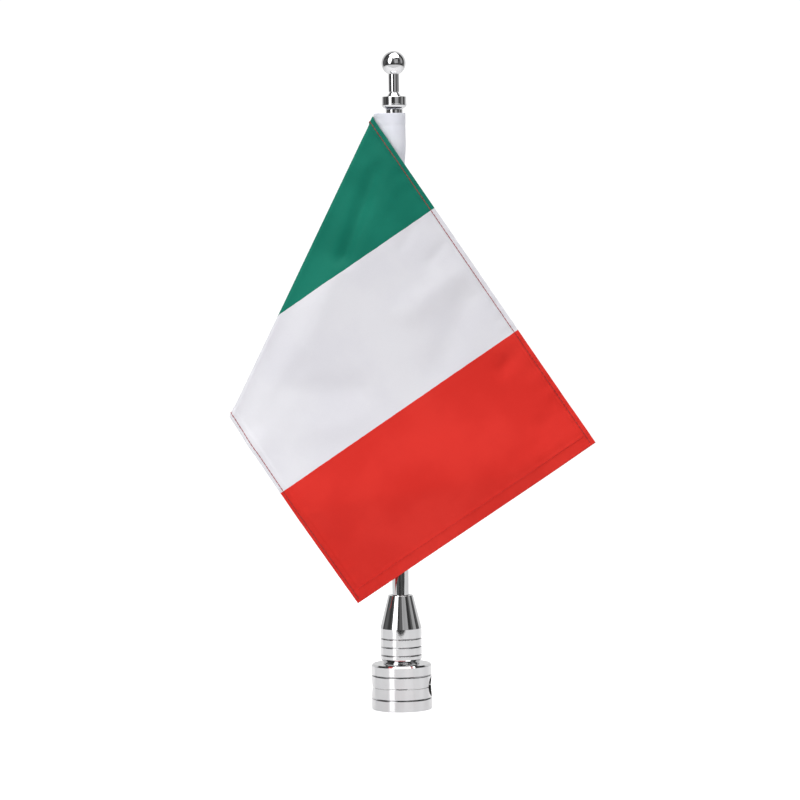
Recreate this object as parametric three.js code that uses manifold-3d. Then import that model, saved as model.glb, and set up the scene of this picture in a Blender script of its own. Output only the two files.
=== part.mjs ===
// A small sleeved flag on a chromed pole, held by a split clamp base with a rubber-lined cross bore.
// Units are millimetres and +Z is up. The origin is the centre of the base's underside, +Z runs up the
// pole's axis, the cross bore for the rack rail runs along X and the flag faces -Y.
import * as THREE from "three";
import { mergeVertices } from "three/addons/utils/BufferGeometryUtils.js";
import Module from "manifold-3d";

const wasm = await Module();
wasm.setup();

// ---- Driving dimensions: fits -------------------------------------------------------------------
const seatGap = 0.1; // between faces that are screwed together
const fitGap = 0.3; // radial, between a shank or spigot and its hole
const turnedSegments = 48; // sides of the large turned pieces
const smallSegments = 24; // sides of screws, washers and holes

// ---- Driving dimensions: clamp base -------------------------------------------------------------
const baseRadius = 16.15;
const baseHeight = 24.4;
const splitHeight = baseHeight / 2; // the cross bore's axis and the plane of the split
const splitGap = 0.4; // left open between the halves so that they grip
const baseTopChamfer = 0.9;
const baseFootChamfer = 0.4;
const baseGrooveOffset = 6.2; // from the split to the groove of each half
const baseGrooveWidth = 0.8;
const baseGrooveDepth = 0.6;
const boreRadius = 5.5;
const linerWall = 0.75;
const linerLength = 32;
const linerSeatGap = 0.1;

// ---- Driving dimensions: clamp screws, M4 -------------------------------------------------------
const clampScrewRadius = 2;
const clampScrewHeadRadius = 3.5;
const clampScrewHeadHeight = 3.6;
const clampScrewLength = 14;
const clampScrewWallToBore = 2.7; // metal left between the bore and the screw hole
const clampScrewSocketAcrossCorners = 3.4;
const clampScrewSocketDepth = 2;
const clampScrewRecess = 0.4; // how far the head's end lies above the underside
const clampScrewTipRoom = 1; // left over the screw's tip in its blind hole

// ---- Driving dimensions: screw lock washers -----------------------------------------------------
const washerThickness = 0.8;
const washerWidth = 1.3;

// ---- Driving dimensions: neck -------------------------------------------------------------------
const neckRadius = 11.1;
const neckFootRadius = 9.7;
const neckFootHeight = 0.9;
const neckFootTaper = 1.8;
const neckBandHeight = 16.4; // from the taper's top to the cone's foot
const neckGrooveFirst = 2.1; // from the taper's top to the lowest groove's centre
const neckGroovePitch = 4.45;
const neckGrooveCount = 3;
const neckGrooveWidth = 0.7;
const neckGrooveDepth = 0.5;
const neckConeHeight = 17.7;
const neckTopRadius = 6.6;
const neckSocketDepth = 1.6; // the pole's shoulder stands in this shallow socket

// ---- Driving dimensions: neck screw, M5 ---------------------------------------------------------
const neckScrewRadius = 2.5;
const neckScrewHeadRadius = 4.2;
const neckScrewHeadHeight = 2.2;
const neckScrewEngagement = 8;
const neckScrewSocketAcrossCorners = 3.4;
const neckScrewSocketDepth = 1.3;

// ---- Driving dimensions: pole -------------------------------------------------------------------
const poleRadius = 4.5;
const poleLength = 261.1; // from its lower shoulder to its top face
const spigotRadius = 3;
const spigotLength = 10;
const tapDepth = 12; // of the tapped hole in the pole's top

// ---- Driving dimensions: finial -----------------------------------------------------------------
const studRadius = 2.5;
const studLength = 13.6;
const studInCollar = 4;
const collarRadius = 6.5;
const collarLip = 0.1; // how far the collar's lower lip stands proud
const collarSkirtHeight = 2.2; // the lip curves in to the pole over this height
const collarLipHeight = 0.5;
const collarDiscHeight = 4.1;
const collarConeFootRadius = 3.8;
const collarConeTopRadius = 2.35;
const collarConeHeight = 2.3;
const stemRadius = 2.8;
const stemLength = 9.5;
const stemPegRadius = 1.5;
const stemPegLength = 2.6;
const ballRadius = 6.4;

// ---- Driving dimensions: flag -------------------------------------------------------------------
const flagHoist = 153;
const flagFly = 210;
const clothThickness = 0.8;
const flagYaw = 7.5; // degrees: how far the flag has swung round the pole
const foldLean = 26.3; // degrees from the vertical to the diagonal fold
const foldFromHoist = 30; // degrees between the flat flag's hoist edge and the fold
const foldRadius = 1.5;
const foldForward = 3; // how far the fold's lower end stands in front of its upper end
const frontClearance = 2.3; // between the sleeve and the front layer that passes it
const frontBulgeReach = 20; // distance from the fold over which the front layer moves out
const backSlope = 0.17; // depth gained by the back layer for each millimetre away from the fold
const flagCornerReach = 5.5; // from the round of the sleeve to the flag's upper hoist corner
const flagCornerFront = 2;
const flagBelowSleeve = 1.8; // from the sleeve's top edge to that corner

// ---- Driving dimensions: sleeve and its stop ring -----------------------------------------------
const sleeveWall = 0.8;
const sleeveRunning = 0.5; // radial room between the pole and the sleeve
const sleeveDrop = 1.9; // from the pole's top to the sleeve's top edge
const sleeveTipRadius = 1.2; // outer radius of the sleeve's edge along the seam
const seamGap = 0.3; // between the sleeve's edge and the flag's hoist edge
const ringTubeRadius = 1;

// ---- Worked-out places --------------------------------------------------------------------------
const clampScrewOffset = boreRadius + clampScrewWallToBore + clampScrewRadius + fitGap;
const linerOuterRadius = boreRadius - linerSeatGap;
const linerInnerRadius = boreRadius - linerWall;
const neckFoot = baseHeight + seatGap;
const neckBandFoot = neckFoot + neckFootHeight + neckFootTaper;
const neckConeFoot = neckBandFoot + neckBandHeight;
const neckTop = neckConeFoot + neckConeHeight;
const poleFoot = neckTop - neckSocketDepth + seatGap;
const poleTop = poleFoot + poleLength;
const collarFoot = poleTop + seatGap;
const collarDiscTop = collarFoot + collarSkirtHeight + collarLipHeight + collarDiscHeight;
const collarTop = collarDiscTop + collarConeHeight;
const stemFoot = collarTop + seatGap;
const stemTop = stemFoot + stemLength;
const ballFlatRadius = stemRadius + seatGap; // the flat that the stem's shoulder meets
const ballFlatDrop = Math.sqrt(ballRadius ** 2 - ballFlatRadius ** 2);
const ballCentre = stemTop + seatGap + ballFlatDrop;
const sleeveTop = poleTop - sleeveDrop;
const sleeveRadius = poleRadius + sleeveRunning + sleeveWall; // outside, where it is round
const flagCornerOut = sleeveRadius + flagCornerReach;
const frontOffset = sleeveRadius + frontClearance + clothThickness / 2; // of the front layer's middle
const frontBulge = frontOffset - flagCornerFront - foldRadius;
const neckScrewHeadSeat = splitHeight + boreRadius + neckScrewHeadHeight + washerThickness + 2 * seatGap;

// ---- Finishes -----------------------------------------------------------------------------------
const finishes = {
  chrome: { color: 0xd8dadc, roughness: 0.06, metalness: 1 },
  darkSteel: { color: 0x3a3b3d, roughness: 0.4, metalness: 1 },
  rubber: { color: 0x0c0c0c, roughness: 0.85, metalness: 0 },
  whiteCloth: { color: 0xe2e2e8, roughness: 0.8, metalness: 0 },
  flagCloth: { color: 0xc8382d, roughness: 0.75, metalness: 0 },
};

// ---- Helpers ------------------------------------------------------------------------------------
const flag = new THREE.Group();
flag.rotation.z = THREE.MathUtils.degToRad(flagYaw);
const stand = new THREE.Group();
stand.add(flag);

function addPiece(group, name, finish, geometry) {
  const mesh = new THREE.Mesh(geometry, new THREE.MeshStandardMaterial(finishes[finish]));
  mesh.name = name;
  group.add(mesh);
}

// A body turned about +Z from [radius, height] points that run up the outside, with its faces out.
function turned(points, segments) {
  const outline = points.map(([radius, height]) => new THREE.Vector2(radius, height));
  return new THREE.LatheGeometry(outline, segments).rotateX(Math.PI / 2);
}

function cylinder(radius, low, high, segments = smallSegments) {
  return turned([[0, low], [radius, low], [radius, high], [0, high]], segments);
}

function solidFrom(geometry) {
  const bare = geometry.index ? geometry.toNonIndexed() : geometry.clone();
  bare.deleteAttribute("normal");
  bare.deleteAttribute("uv");
  const merged = mergeVertices(bare, 1e-4);
  const vertProperties = new Float32Array(merged.attributes.position.array);
  const triVerts = new Uint32Array(merged.index.array);
  return new wasm.Manifold(new wasm.Mesh({ numProp: 3, vertProperties, triVerts }));
}

function geometryFrom(solid) {
  const { vertProperties, triVerts } = solid.getMesh();
  const geometry = new THREE.BufferGeometry();
  geometry.setAttribute("position", new THREE.BufferAttribute(new Float32Array(vertProperties), 3));
  geometry.setIndex(new THREE.BufferAttribute(new Uint32Array(triVerts), 1));
  return geometry;
}

function cut(geometry, ...tools) {
  const left = tools.reduce((solid, tool) => solid.subtract(solidFrom(tool)), solidFrom(geometry));
  return geometryFrom(left);
}

// The four points of a square groove in an outline that runs upwards.
function groovePoints(radius, centre, width, depth) {
  const low = centre - width / 2;
  const high = centre + width / 2;
  return [[radius, low], [radius - depth, low], [radius - depth, high], [radius, high]];
}

// ---- Clamp base ---------------------------------------------------------------------------------
function railBore() {
  return cylinder(boreRadius, -2 * baseRadius, 2 * baseRadius, turnedSegments)
    .rotateY(Math.PI / 2)
    .translate(0, 0, splitHeight);
}

function lowerCap() {
  const top = splitHeight - splitGap / 2;
  const outline = [
    [0, 0],
    [baseRadius - baseFootChamfer, 0],
    [baseRadius, baseFootChamfer],
    ...groovePoints(baseRadius, splitHeight - baseGrooveOffset, baseGrooveWidth, baseGrooveDepth),
    [baseRadius, top],
    [0, top],
  ];
  const headTop = clampScrewRecess + clampScrewHeadHeight + washerThickness + 2 * seatGap;
  const holes = [-clampScrewOffset, clampScrewOffset].flatMap((y) => [
    cylinder(clampScrewHeadRadius + fitGap, -baseRadius, headTop).translate(0, y, 0),
    cylinder(clampScrewRadius + fitGap, -baseRadius, baseHeight).translate(0, y, 0),
  ]);
  return cut(turned(outline, turnedSegments), railBore(), ...holes);
}

function upperBody() {
  const foot = splitHeight + splitGap / 2;
  const outline = [
    [0, foot],
    [baseRadius, foot],
    ...groovePoints(baseRadius, splitHeight + baseGrooveOffset, baseGrooveWidth, baseGrooveDepth),
    [baseRadius, baseHeight - baseTopChamfer],
    [baseRadius - baseTopChamfer, baseHeight],
    [0, baseHeight],
  ];
  const tapTop = clampScrewShankFoot() + clampScrewLength + clampScrewTipRoom;
  const taps = [-clampScrewOffset, clampScrewOffset].map((y) =>
    cylinder(clampScrewRadius + fitGap, 0, tapTop).translate(0, y, 0),
  );
  const headRoom = cylinder(neckScrewHeadRadius + fitGap, splitHeight, neckScrewHeadSeat);
  const shankRoom = cylinder(neckScrewRadius + fitGap, splitHeight, 2 * baseHeight);
  return cut(turned(outline, turnedSegments), railBore(), headRoom, shankRoom, ...taps);
}

// One half of the rubber lining: side is 1 above the split and -1 below it.
function liner(side) {
  const start = Math.asin(splitGap / 2 / linerInnerRadius);
  const half = new THREE.Shape();
  half.absarc(0, 0, linerOuterRadius, start, Math.PI - start, false);
  half.absarc(0, 0, linerInnerRadius, Math.PI - start, start, true);
  const turn = side > 0 ? 0 : Math.PI;
  return new THREE.ExtrudeGeometry(half, { depth: linerLength, bevelEnabled: false, curveSegments: 16 })
    .translate(0, 0, -linerLength / 2)
    .rotateZ(turn)
    .rotateX(Math.PI / 2)
    .rotateZ(Math.PI / 2)
    .translate(0, 0, splitHeight);
}

// ---- Screws and washers -------------------------------------------------------------------------
// A socket-head screw that points up, with its head's lower end at height zero.
function socketScrew(radius, headRadius, headHeight, length, socketCorners, socketDepth) {
  const top = headHeight + length;
  const outline = [
    [0, 0],
    [headRadius, 0],
    [headRadius, headHeight],
    [radius, headHeight],
    [radius, top],
    [0, top],
  ];
  const socket = cylinder(socketCorners / 2, -socketDepth, socketDepth, 6);
  return cut(turned(outline, smallSegments), socket);
}

function washer(innerRadius, low) {
  const outer = innerRadius + washerWidth;
  const high = low + washerThickness;
  const outline = [
    [innerRadius, low],
    [outer, low],
    [outer, high],
    [innerRadius, high],
    [innerRadius, low],
  ];
  return turned(outline, smallSegments);
}

function clampScrewShankFoot() {
  return clampScrewRecess + clampScrewHeadHeight;
}

function clampScrew(y) {
  return socketScrew(
    clampScrewRadius,
    clampScrewHeadRadius,
    clampScrewHeadHeight,
    clampScrewLength,
    clampScrewSocketAcrossCorners,
    clampScrewSocketDepth,
  ).translate(0, y, clampScrewRecess);
}

function clampWasher(y) {
  return washer(clampScrewRadius + fitGap, clampScrewShankFoot() + seatGap).translate(0, y, 0);
}

function neckScrew() {
  const headFoot = neckScrewHeadSeat - washerThickness - 2 * seatGap - neckScrewHeadHeight;
  const length = neckFoot + neckScrewEngagement - headFoot - neckScrewHeadHeight;
  return socketScrew(
    neckScrewRadius,
    neckScrewHeadRadius,
    neckScrewHeadHeight,
    length,
    neckScrewSocketAcrossCorners,
    neckScrewSocketDepth,
  ).translate(0, 0, headFoot);
}

function neckWasher() {
  return washer(neckScrewRadius + fitGap, neckScrewHeadSeat - washerThickness - seatGap);
}

// ---- Neck and pole ------------------------------------------------------------------------------
function neckCollar() {
  const grooves = Array.from({ length: neckGrooveCount }, (_, i) => {
    const centre = neckBandFoot + neckGrooveFirst + i * neckGroovePitch;
    return groovePoints(neckRadius, centre, neckGrooveWidth, neckGrooveDepth);
  }).flat();
  const screwHoleTop = neckFoot + neckScrewEngagement + clampScrewTipRoom;
  const spigotHoleFoot = poleFoot - spigotLength - clampScrewTipRoom;
  return turned(
    [
      [0, screwHoleTop],
      [neckScrewRadius + fitGap, screwHoleTop],
      [neckScrewRadius + fitGap, neckFoot],
      [neckFootRadius, neckFoot],
      [neckFootRadius, neckFoot + neckFootHeight],
      [neckRadius, neckBandFoot],
      ...grooves,
      [neckRadius, neckConeFoot],
      [neckTopRadius, neckTop],
      [poleRadius + fitGap, neckTop],
      [poleRadius + fitGap, neckTop - neckSocketDepth],
      [spigotRadius + fitGap, neckTop - neckSocketDepth],
      [spigotRadius + fitGap, spigotHoleFoot],
      [0, spigotHoleFoot],
    ],
    turnedSegments,
  );
}

function pole() {
  return turned(
    [
      [0, poleFoot - spigotLength],
      [spigotRadius, poleFoot - spigotLength],
      [spigotRadius, poleFoot],
      [poleRadius, poleFoot],
      [poleRadius, poleTop],
      [studRadius + fitGap, poleTop],
      [studRadius + fitGap, poleTop - tapDepth],
      [0, poleTop - tapDepth],
    ],
    turnedSegments,
  );
}

// ---- Finial -------------------------------------------------------------------------------------
function finialStud() {
  const top = collarFoot + studInCollar;
  return cylinder(studRadius, top - studLength, top);
}

function finialCollar() {
  const lipFoot = collarFoot + collarSkirtHeight;
  const lipTop = lipFoot + collarLipHeight;
  const studHoleTop = collarFoot + studInCollar + fitGap;
  const pegHoleFoot = collarTop - stemPegLength - fitGap;
  return turned(
    [
      [0, studHoleTop],
      [studRadius + fitGap, studHoleTop],
      [studRadius + fitGap, collarFoot],
      [poleRadius, collarFoot],
      [collarRadius + collarLip, lipFoot],
      [collarRadius + collarLip, lipTop],
      [collarRadius, lipTop],
      [collarRadius, collarDiscTop],
      [collarConeFootRadius, collarDiscTop],
      [collarConeTopRadius, collarTop],
      [stemPegRadius + fitGap, collarTop],
      [stemPegRadius + fitGap, pegHoleFoot],
      [0, pegHoleFoot],
    ],
    turnedSegments,
  );
}

function finialStem() {
  return turned(
    [
      [0, stemFoot - stemPegLength],
      [stemPegRadius, stemFoot - stemPegLength],
      [stemPegRadius, stemFoot],
      [stemRadius, stemFoot],
      [stemRadius, stemTop],
      [stemPegRadius, stemTop],
      [stemPegRadius, stemTop + stemPegLength],
      [0, stemTop + stemPegLength],
    ],
    smallSegments,
  );
}

function finialBall() {
  const flat = ballCentre - ballFlatDrop;
  const holeTop = stemTop + stemPegLength + fitGap;
  const rows = 12;
  const start = Math.asin(ballFlatRadius / ballRadius) - Math.PI;
  const skin = Array.from({ length: rows }, (_, i) => {
    const angle = start * (1 - i / rows);
    return [-ballRadius * Math.sin(angle), ballCentre + ballRadius * Math.cos(angle)];
  });
  return turned(
    [
      [0, holeTop],
      [stemPegRadius + fitGap, holeTop],
      [stemPegRadius + fitGap, flat],
      ...skin,
      [0, ballCentre + ballRadius],
    ],
    turnedSegments,
  );
}

// ---- Flag ---------------------------------------------------------------------------------------
const foldAngle = THREE.MathUtils.degToRad(foldFromHoist);
const leanAngle = THREE.MathUtils.degToRad(foldLean);
const alongFold = new THREE.Vector3(-Math.sin(leanAngle), 0, -Math.cos(leanAngle));
const awayFromFold = new THREE.Vector3(Math.cos(leanAngle), 0, -Math.sin(leanAngle));
const foldLength = flagHoist / Math.cos(foldAngle);
const flagCorner = new THREE.Vector3(-flagCornerOut, -flagCornerFront, sleeveTop - flagBelowSleeve);

// Where the flag's cloth runs at a distance t from the fold: t is positive on the front layer and
// negative on the back layer. x is the distance from the fold's outer edge and y is the depth.
function foldSection(t) {
  const quarter = (Math.PI / 2) * foldRadius;
  if (Math.abs(t) < quarter) {
    const turn = t / foldRadius;
    return new THREE.Vector2(foldRadius * (1 - Math.cos(turn)), -foldRadius * Math.sin(turn));
  }
  const straight = Math.abs(t) - quarter;
  if (t < 0) return new THREE.Vector2(foldRadius + straight, foldRadius + backSlope * straight);
  const out = frontBulge * THREE.MathUtils.smoothstep(straight, 0, frontBulgeReach);
  return new THREE.Vector2(foldRadius + straight, -foldRadius - out);
}

// The middle of the folded cloth at s along the fold and t away from it.
function clothPoint(s, t) {
  const section = foldSection(t);
  return flagCorner
    .clone()
    .addScaledVector(alongFold, s)
    .addScaledVector(awayFromFold, section.x)
    .add(new THREE.Vector3(0, section.y - (foldForward * s) / foldLength, 0));
}

// The flat flag's corners as [s, t]: upper hoist, upper fly, lower fly and lower hoist.
const hoistStep = [flagHoist * Math.cos(foldAngle), -flagHoist * Math.sin(foldAngle)];
const flyStep = [flagFly * Math.sin(foldAngle), flagFly * Math.cos(foldAngle)];

// The cloth's two edges, as values of t, on the line across it at s.
function clothEdges(s) {
  const onHoist = -s * Math.tan(foldAngle);
  const onTop = s / Math.tan(foldAngle);
  const onFoot = hoistStep[1] + (s - hoistStep[0]) / Math.tan(foldAngle);
  const onFly = flyStep[1] - (s - flyStep[0]) * Math.tan(foldAngle);
  return [Math.max(onHoist, onFoot), Math.min(onTop, onFly)];
}

// A closed sheet of clothThickness whose rows cross the fold.
function flagCloth() {
  const last = hoistStep[0] + flyStep[0];
  const corners = [flyStep[0], hoistStep[0], foldLength];
  const shares = [0.006, 0.03, 0.08, 0.15, 0.24, 0.33, 0.5, 0.6, 0.7, 0.8, 0.9, 0.97, 0.994];
  const rows = [...shares.map((share) => share * last), ...corners].sort((a, b) => a - b);
  const quarter = (Math.PI / 2) * foldRadius;
  const stops = [-1, -0.75, -0.5, -0.25, 0, 0.25, 0.5, 0.75, 1].map((share) => share * quarter);
  const bulgeStops = [0.2, 0.4, 0.6, 0.8, 1].map((share) => quarter + share * frontBulgeReach);
  const across = [...stops, ...bulgeStops];
  const middle = rows.map((s) => {
    const [low, high] = clothEdges(s);
    const inner = across.map((t) => THREE.MathUtils.clamp(t, low, high));
    return [low, ...inner, high].map((t) => ({ s, t }));
  });
  return sheet(middle);
}

// A closed sheet from a grid of {s, t} places, moved half a thickness to each side of clothPoint.
function sheet(grid) {
  const step = 0.01;
  const place = ({ s, t }, side) => {
    const alongT = clothPoint(s, t + step).sub(clothPoint(s, t - step));
    const alongS = clothPoint(s + step, t).sub(clothPoint(s - step, t));
    const normal = alongS.cross(alongT).normalize();
    return clothPoint(s, t).addScaledVector(normal, (side * clothThickness) / 2);
  };
  const positions = [];
  const face = (...corners) => corners.forEach((p) => positions.push(p.x, p.y, p.z));
  const quad = (a, b, c, d) => {
    face(a, b, c);
    face(a, c, d);
  };
  const front = grid.map((row) => row.map((at) => place(at, 1)));
  const back = grid.map((row) => row.map((at) => place(at, -1)));
  const lastRow = grid.length - 1;
  const lastColumn = grid[0].length - 1;
  for (let i = 0; i < lastRow; i++) {
    for (let j = 0; j < lastColumn; j++) {
      quad(front[i][j], front[i + 1][j], front[i + 1][j + 1], front[i][j + 1]);
      quad(back[i][j], back[i][j + 1], back[i + 1][j + 1], back[i + 1][j]);
    }
    quad(front[i][0], back[i][0], back[i + 1][0], front[i + 1][0]);
    quad(front[i][lastColumn], front[i + 1][lastColumn], back[i + 1][lastColumn], back[i][lastColumn]);
  }
  for (let j = 0; j < lastColumn; j++) {
    quad(front[0][j], front[0][j + 1], back[0][j + 1], back[0][j]);
    quad(front[lastRow][j], back[lastRow][j], back[lastRow][j + 1], front[lastRow][j + 1]);
  }
  const geometry = new THREE.BufferGeometry();
  geometry.setAttribute("position", new THREE.Float32BufferAttribute(positions, 3));
  return geometry;
}

// ---- Sleeve -------------------------------------------------------------------------------------
// One closed ring of the sleeve at a share of its height, 0 at the top: a circle round the pole drawn
// out to a rounded edge along the seam.
function sleeveRing(share, inset) {
  const edgeAt = clothPoint(share * hoistStep[0], share * hoistStep[1]);
  const edge = new THREE.Vector2(edgeAt.x, edgeAt.y);
  const reach = edge.length() - clothThickness / 2 - seamGap - sleeveTipRadius;
  const tip = edge.clone().setLength(reach);
  const aim = tip.angle();
  const wrapRadius = sleeveRadius - inset;
  const tipRadius = sleeveTipRadius - inset;
  const tangent = Math.acos(THREE.MathUtils.clamp((wrapRadius - tipRadius) / reach, -1, 1));
  const wrapSteps = 20;
  const tipSteps = 4;
  const arc = (centre, radius, from, to, steps) =>
    Array.from({ length: steps + 1 }, (_, i) => {
      const angle = from + ((to - from) * i) / steps;
      return new THREE.Vector2(centre.x + radius * Math.cos(angle), centre.y + radius * Math.sin(angle));
    });
  const height = sleeveTop - share * flagHoist;
  const axis = new THREE.Vector2(0, 0);
  const wrap = arc(axis, wrapRadius, aim + tangent, aim - tangent + 2 * Math.PI, wrapSteps);
  const point = arc(tip, tipRadius, aim - tangent, aim + tangent, tipSteps);
  return [...wrap, ...point].map((p) => new THREE.Vector3(p.x, p.y, height));
}

function flagSleeve() {
  const shares = [0, 0.25, 0.5, 0.75, 1];
  const outer = shares.map((share) => sleeveRing(share, 0));
  const inner = shares.map((share) => sleeveRing(share, sleeveWall)).reverse();
  const rings = [...outer, ...inner];
  const positions = [];
  rings.forEach((ring, i) => {
    const next = rings[(i + 1) % rings.length];
    ring.forEach((a, j) => {
      const k = (j + 1) % ring.length;
      [a, next[j], next[k], a, next[k], ring[k]].forEach((p) => positions.push(p.x, p.y, p.z));
    });
  });
  const geometry = new THREE.BufferGeometry();
  geometry.setAttribute("position", new THREE.Float32BufferAttribute(positions, 3));
  return geometry;
}

function stopRing() {
  const height = sleeveTop - flagHoist - fitGap - ringTubeRadius;
  const radius = poleRadius + fitGap + ringTubeRadius;
  return new THREE.TorusGeometry(radius, ringTubeRadius, 8, smallSegments).translate(0, 0, height);
}

// ---- Assembly -----------------------------------------------------------------------------------
addPiece(stand, "clamp_lower_cap", "chrome", lowerCap());
addPiece(stand, "clamp_upper_body", "chrome", upperBody());
addPiece(stand, "clamp_liner_lower", "rubber", liner(-1));
addPiece(stand, "clamp_liner_upper", "rubber", liner(1));
addPiece(stand, "clamp_screw_front", "darkSteel", clampScrew(-clampScrewOffset));
addPiece(stand, "clamp_screw_rear", "darkSteel", clampScrew(clampScrewOffset));
addPiece(stand, "clamp_washer_front", "darkSteel", clampWasher(-clampScrewOffset));
addPiece(stand, "clamp_washer_rear", "darkSteel", clampWasher(clampScrewOffset));
addPiece(stand, "neck_screw", "darkSteel", neckScrew());
addPiece(stand, "neck_screw_washer", "darkSteel", neckWasher());
addPiece(stand, "neck_collar", "chrome", neckCollar());
addPiece(stand, "pole", "chrome", pole());
addPiece(stand, "finial_stud", "darkSteel", finialStud());
addPiece(stand, "finial_collar", "chrome", finialCollar());
addPiece(stand, "finial_stem", "chrome", finialStem());
addPiece(stand, "finial_ball", "chrome", finialBall());
addPiece(stand, "flag_stop_ring", "rubber", stopRing());
addPiece(flag, "flag_sleeve", "whiteCloth", flagSleeve());
addPiece(flag, "flag_cloth", "flagCloth", flagCloth());

export default stand;
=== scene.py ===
# %% [markdown]
# A small sleeved flag on a chromed pole, held by a split clamp base.
#
# The frame holds the real sizes: every node of it is a plain solid in its true place, and it knows
# which body each node moves with. This script builds the finished surfaces round it. All lengths in
# this file are written in millimetres and turned into metres once, by the value MM.

# %% Load the frame
import math

import bmesh
import bpy
import numpy as np
from mathutils import Matrix, Vector


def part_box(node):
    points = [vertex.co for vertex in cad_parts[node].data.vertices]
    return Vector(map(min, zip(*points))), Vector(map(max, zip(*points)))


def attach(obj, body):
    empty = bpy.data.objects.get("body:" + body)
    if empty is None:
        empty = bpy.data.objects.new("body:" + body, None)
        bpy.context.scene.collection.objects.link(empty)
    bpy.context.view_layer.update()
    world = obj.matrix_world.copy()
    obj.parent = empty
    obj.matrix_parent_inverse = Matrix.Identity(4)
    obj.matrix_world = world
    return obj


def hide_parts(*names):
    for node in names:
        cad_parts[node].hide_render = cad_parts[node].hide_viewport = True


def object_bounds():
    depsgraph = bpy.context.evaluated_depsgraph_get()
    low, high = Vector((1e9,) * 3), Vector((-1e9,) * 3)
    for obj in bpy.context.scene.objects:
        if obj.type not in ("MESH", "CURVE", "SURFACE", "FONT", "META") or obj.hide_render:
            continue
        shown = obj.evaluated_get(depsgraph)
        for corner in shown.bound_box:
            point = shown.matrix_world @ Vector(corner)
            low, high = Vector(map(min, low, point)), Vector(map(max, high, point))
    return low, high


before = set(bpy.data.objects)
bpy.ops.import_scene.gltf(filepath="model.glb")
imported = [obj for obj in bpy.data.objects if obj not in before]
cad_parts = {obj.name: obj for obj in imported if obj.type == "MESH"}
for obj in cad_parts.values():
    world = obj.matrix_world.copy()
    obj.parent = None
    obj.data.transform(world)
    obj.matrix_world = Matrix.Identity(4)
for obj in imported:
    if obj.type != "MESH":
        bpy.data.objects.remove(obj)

cad_low, cad_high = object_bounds()
MM = 0.001
print("frame nodes:", len(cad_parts), "height in mm:", round(cad_high.z / MM, 1))

# %% [markdown]
# Most places come from the frame's boxes. A box gives a lowest and a highest corner in metres, and a
# turned piece's radius is half its width, so these three helpers read what the pieces need.

# %% Read places from the frame
def low_z(node):
    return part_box(node)[0].z / MM


def high_z(node):
    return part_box(node)[1].z / MM


def radius_of(node):
    low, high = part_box(node)
    return (high.y - low.y) / 2 / MM


BASE_RADIUS = radius_of("clamp_lower_cap")
BASE_TOP = high_z("clamp_upper_body")
SPLIT_Z = BASE_TOP / 2
POLE_RADIUS = radius_of("pole")
POLE_TOP = high_z("pole")
NECK_FOOT = low_z("neck_collar")
NECK_TOP = high_z("neck_collar")
NECK_RADIUS = radius_of("neck_collar")
COLLAR_FOOT = low_z("finial_collar")
COLLAR_TOP = high_z("finial_collar")
BALL_RADIUS = radius_of("finial_ball")
BALL_Z = high_z("finial_ball") - BALL_RADIUS
SLEEVE_TOP = high_z("flag_sleeve")
print("base", round(BASE_RADIUS, 2), "pole", round(POLE_RADIUS, 2), "ball", round(BALL_RADIUS, 2))

# %% [markdown]
# The camera stands a long way back with a long lens, a little above the middle of the stand, so the
# base is seen from slightly above and the ball from slightly below. It leans by less than a degree.

# %% Camera
VIEW_AZIMUTH = math.radians(7.5)
CAMERA_AWAY = 1800
CAMERA_HEIGHT = 268
AIM_HEIGHT = 166
AIM_RIGHT = 1.07
CAMERA_LEAN = math.radians(0.76)
VIEW_WIDTH = 428
SENSOR_WIDTH = 36

view_right = Vector((math.cos(VIEW_AZIMUTH), math.sin(VIEW_AZIMUTH), 0))
toward_camera = Vector((math.sin(VIEW_AZIMUTH), -math.cos(VIEW_AZIMUTH), 0))
camera_data = bpy.data.cameras.new("camera")
camera = bpy.data.objects.new("camera", camera_data)
bpy.context.scene.collection.objects.link(camera)
bpy.context.scene.camera = camera
aim = view_right * AIM_RIGHT + Vector((0, 0, AIM_HEIGHT))
camera_place = view_right * AIM_RIGHT + toward_camera * CAMERA_AWAY + Vector((0, 0, CAMERA_HEIGHT))
sight = aim - camera_place
facing_aim = sight.to_track_quat("-Z", "Y").to_matrix().to_4x4()
lean = Matrix.Rotation(-CAMERA_LEAN, 4, "Z")
camera.matrix_world = Matrix.Translation(camera_place * MM) @ facing_aim @ lean
camera_data.sensor_width = SENSOR_WIDTH
camera_data.lens = SENSOR_WIDTH * sight.length / VIEW_WIDTH
print("lens", round(camera_data.lens, 1))

# %% [markdown]
# Chrome shows its surroundings and little else, so the studio is part of the finish. A tall bright
# panel stands at the camera's left, a large one hangs overhead, and a dim one stands at the right.
# Between them the room is dark. The table is a white glossy plate with its near edge not far in
# front, and below it the floor of the room is pale. The sky shader gives the camera plain white, and
# gives mirrors the dark room.

# %% Studio: world
def node(tree, kind, **values):
    """A shader node with its settings and its unlinked inputs filled in by name."""
    made = tree.nodes.new("ShaderNode" + kind)
    for key, value in values.items():
        if hasattr(made, key):
            setattr(made, key, value)
        else:
            made.inputs[key.replace("_", " ")].default_value = value
    return made


def math_node(tree, operation, a, b=None, clamp=False):
    made = node(tree, "Math", operation=operation, use_clamp=clamp)
    for socket, value in zip(made.inputs, (a, b)):
        if isinstance(value, bpy.types.NodeSocket):
            tree.links.new(value, socket)
        elif value is not None:
            socket.default_value = value
    return made.outputs[0]


def ramp_between(tree, value, start, end):
    """0 below start, 1 above end and smooth between them."""
    made = node(tree, "MapRange", interpolation_type="SMOOTHSTEP")
    tree.links.new(value, made.inputs["Value"])
    made.inputs["From Min"].default_value = start
    made.inputs["From Max"].default_value = end
    return made.outputs["Result"]


def plus_share(tree, base, mask, share):
    """A base value plus a share of a mask."""
    return math_node(tree, "ADD", base, math_node(tree, "MULTIPLY", mask, share))


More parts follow.
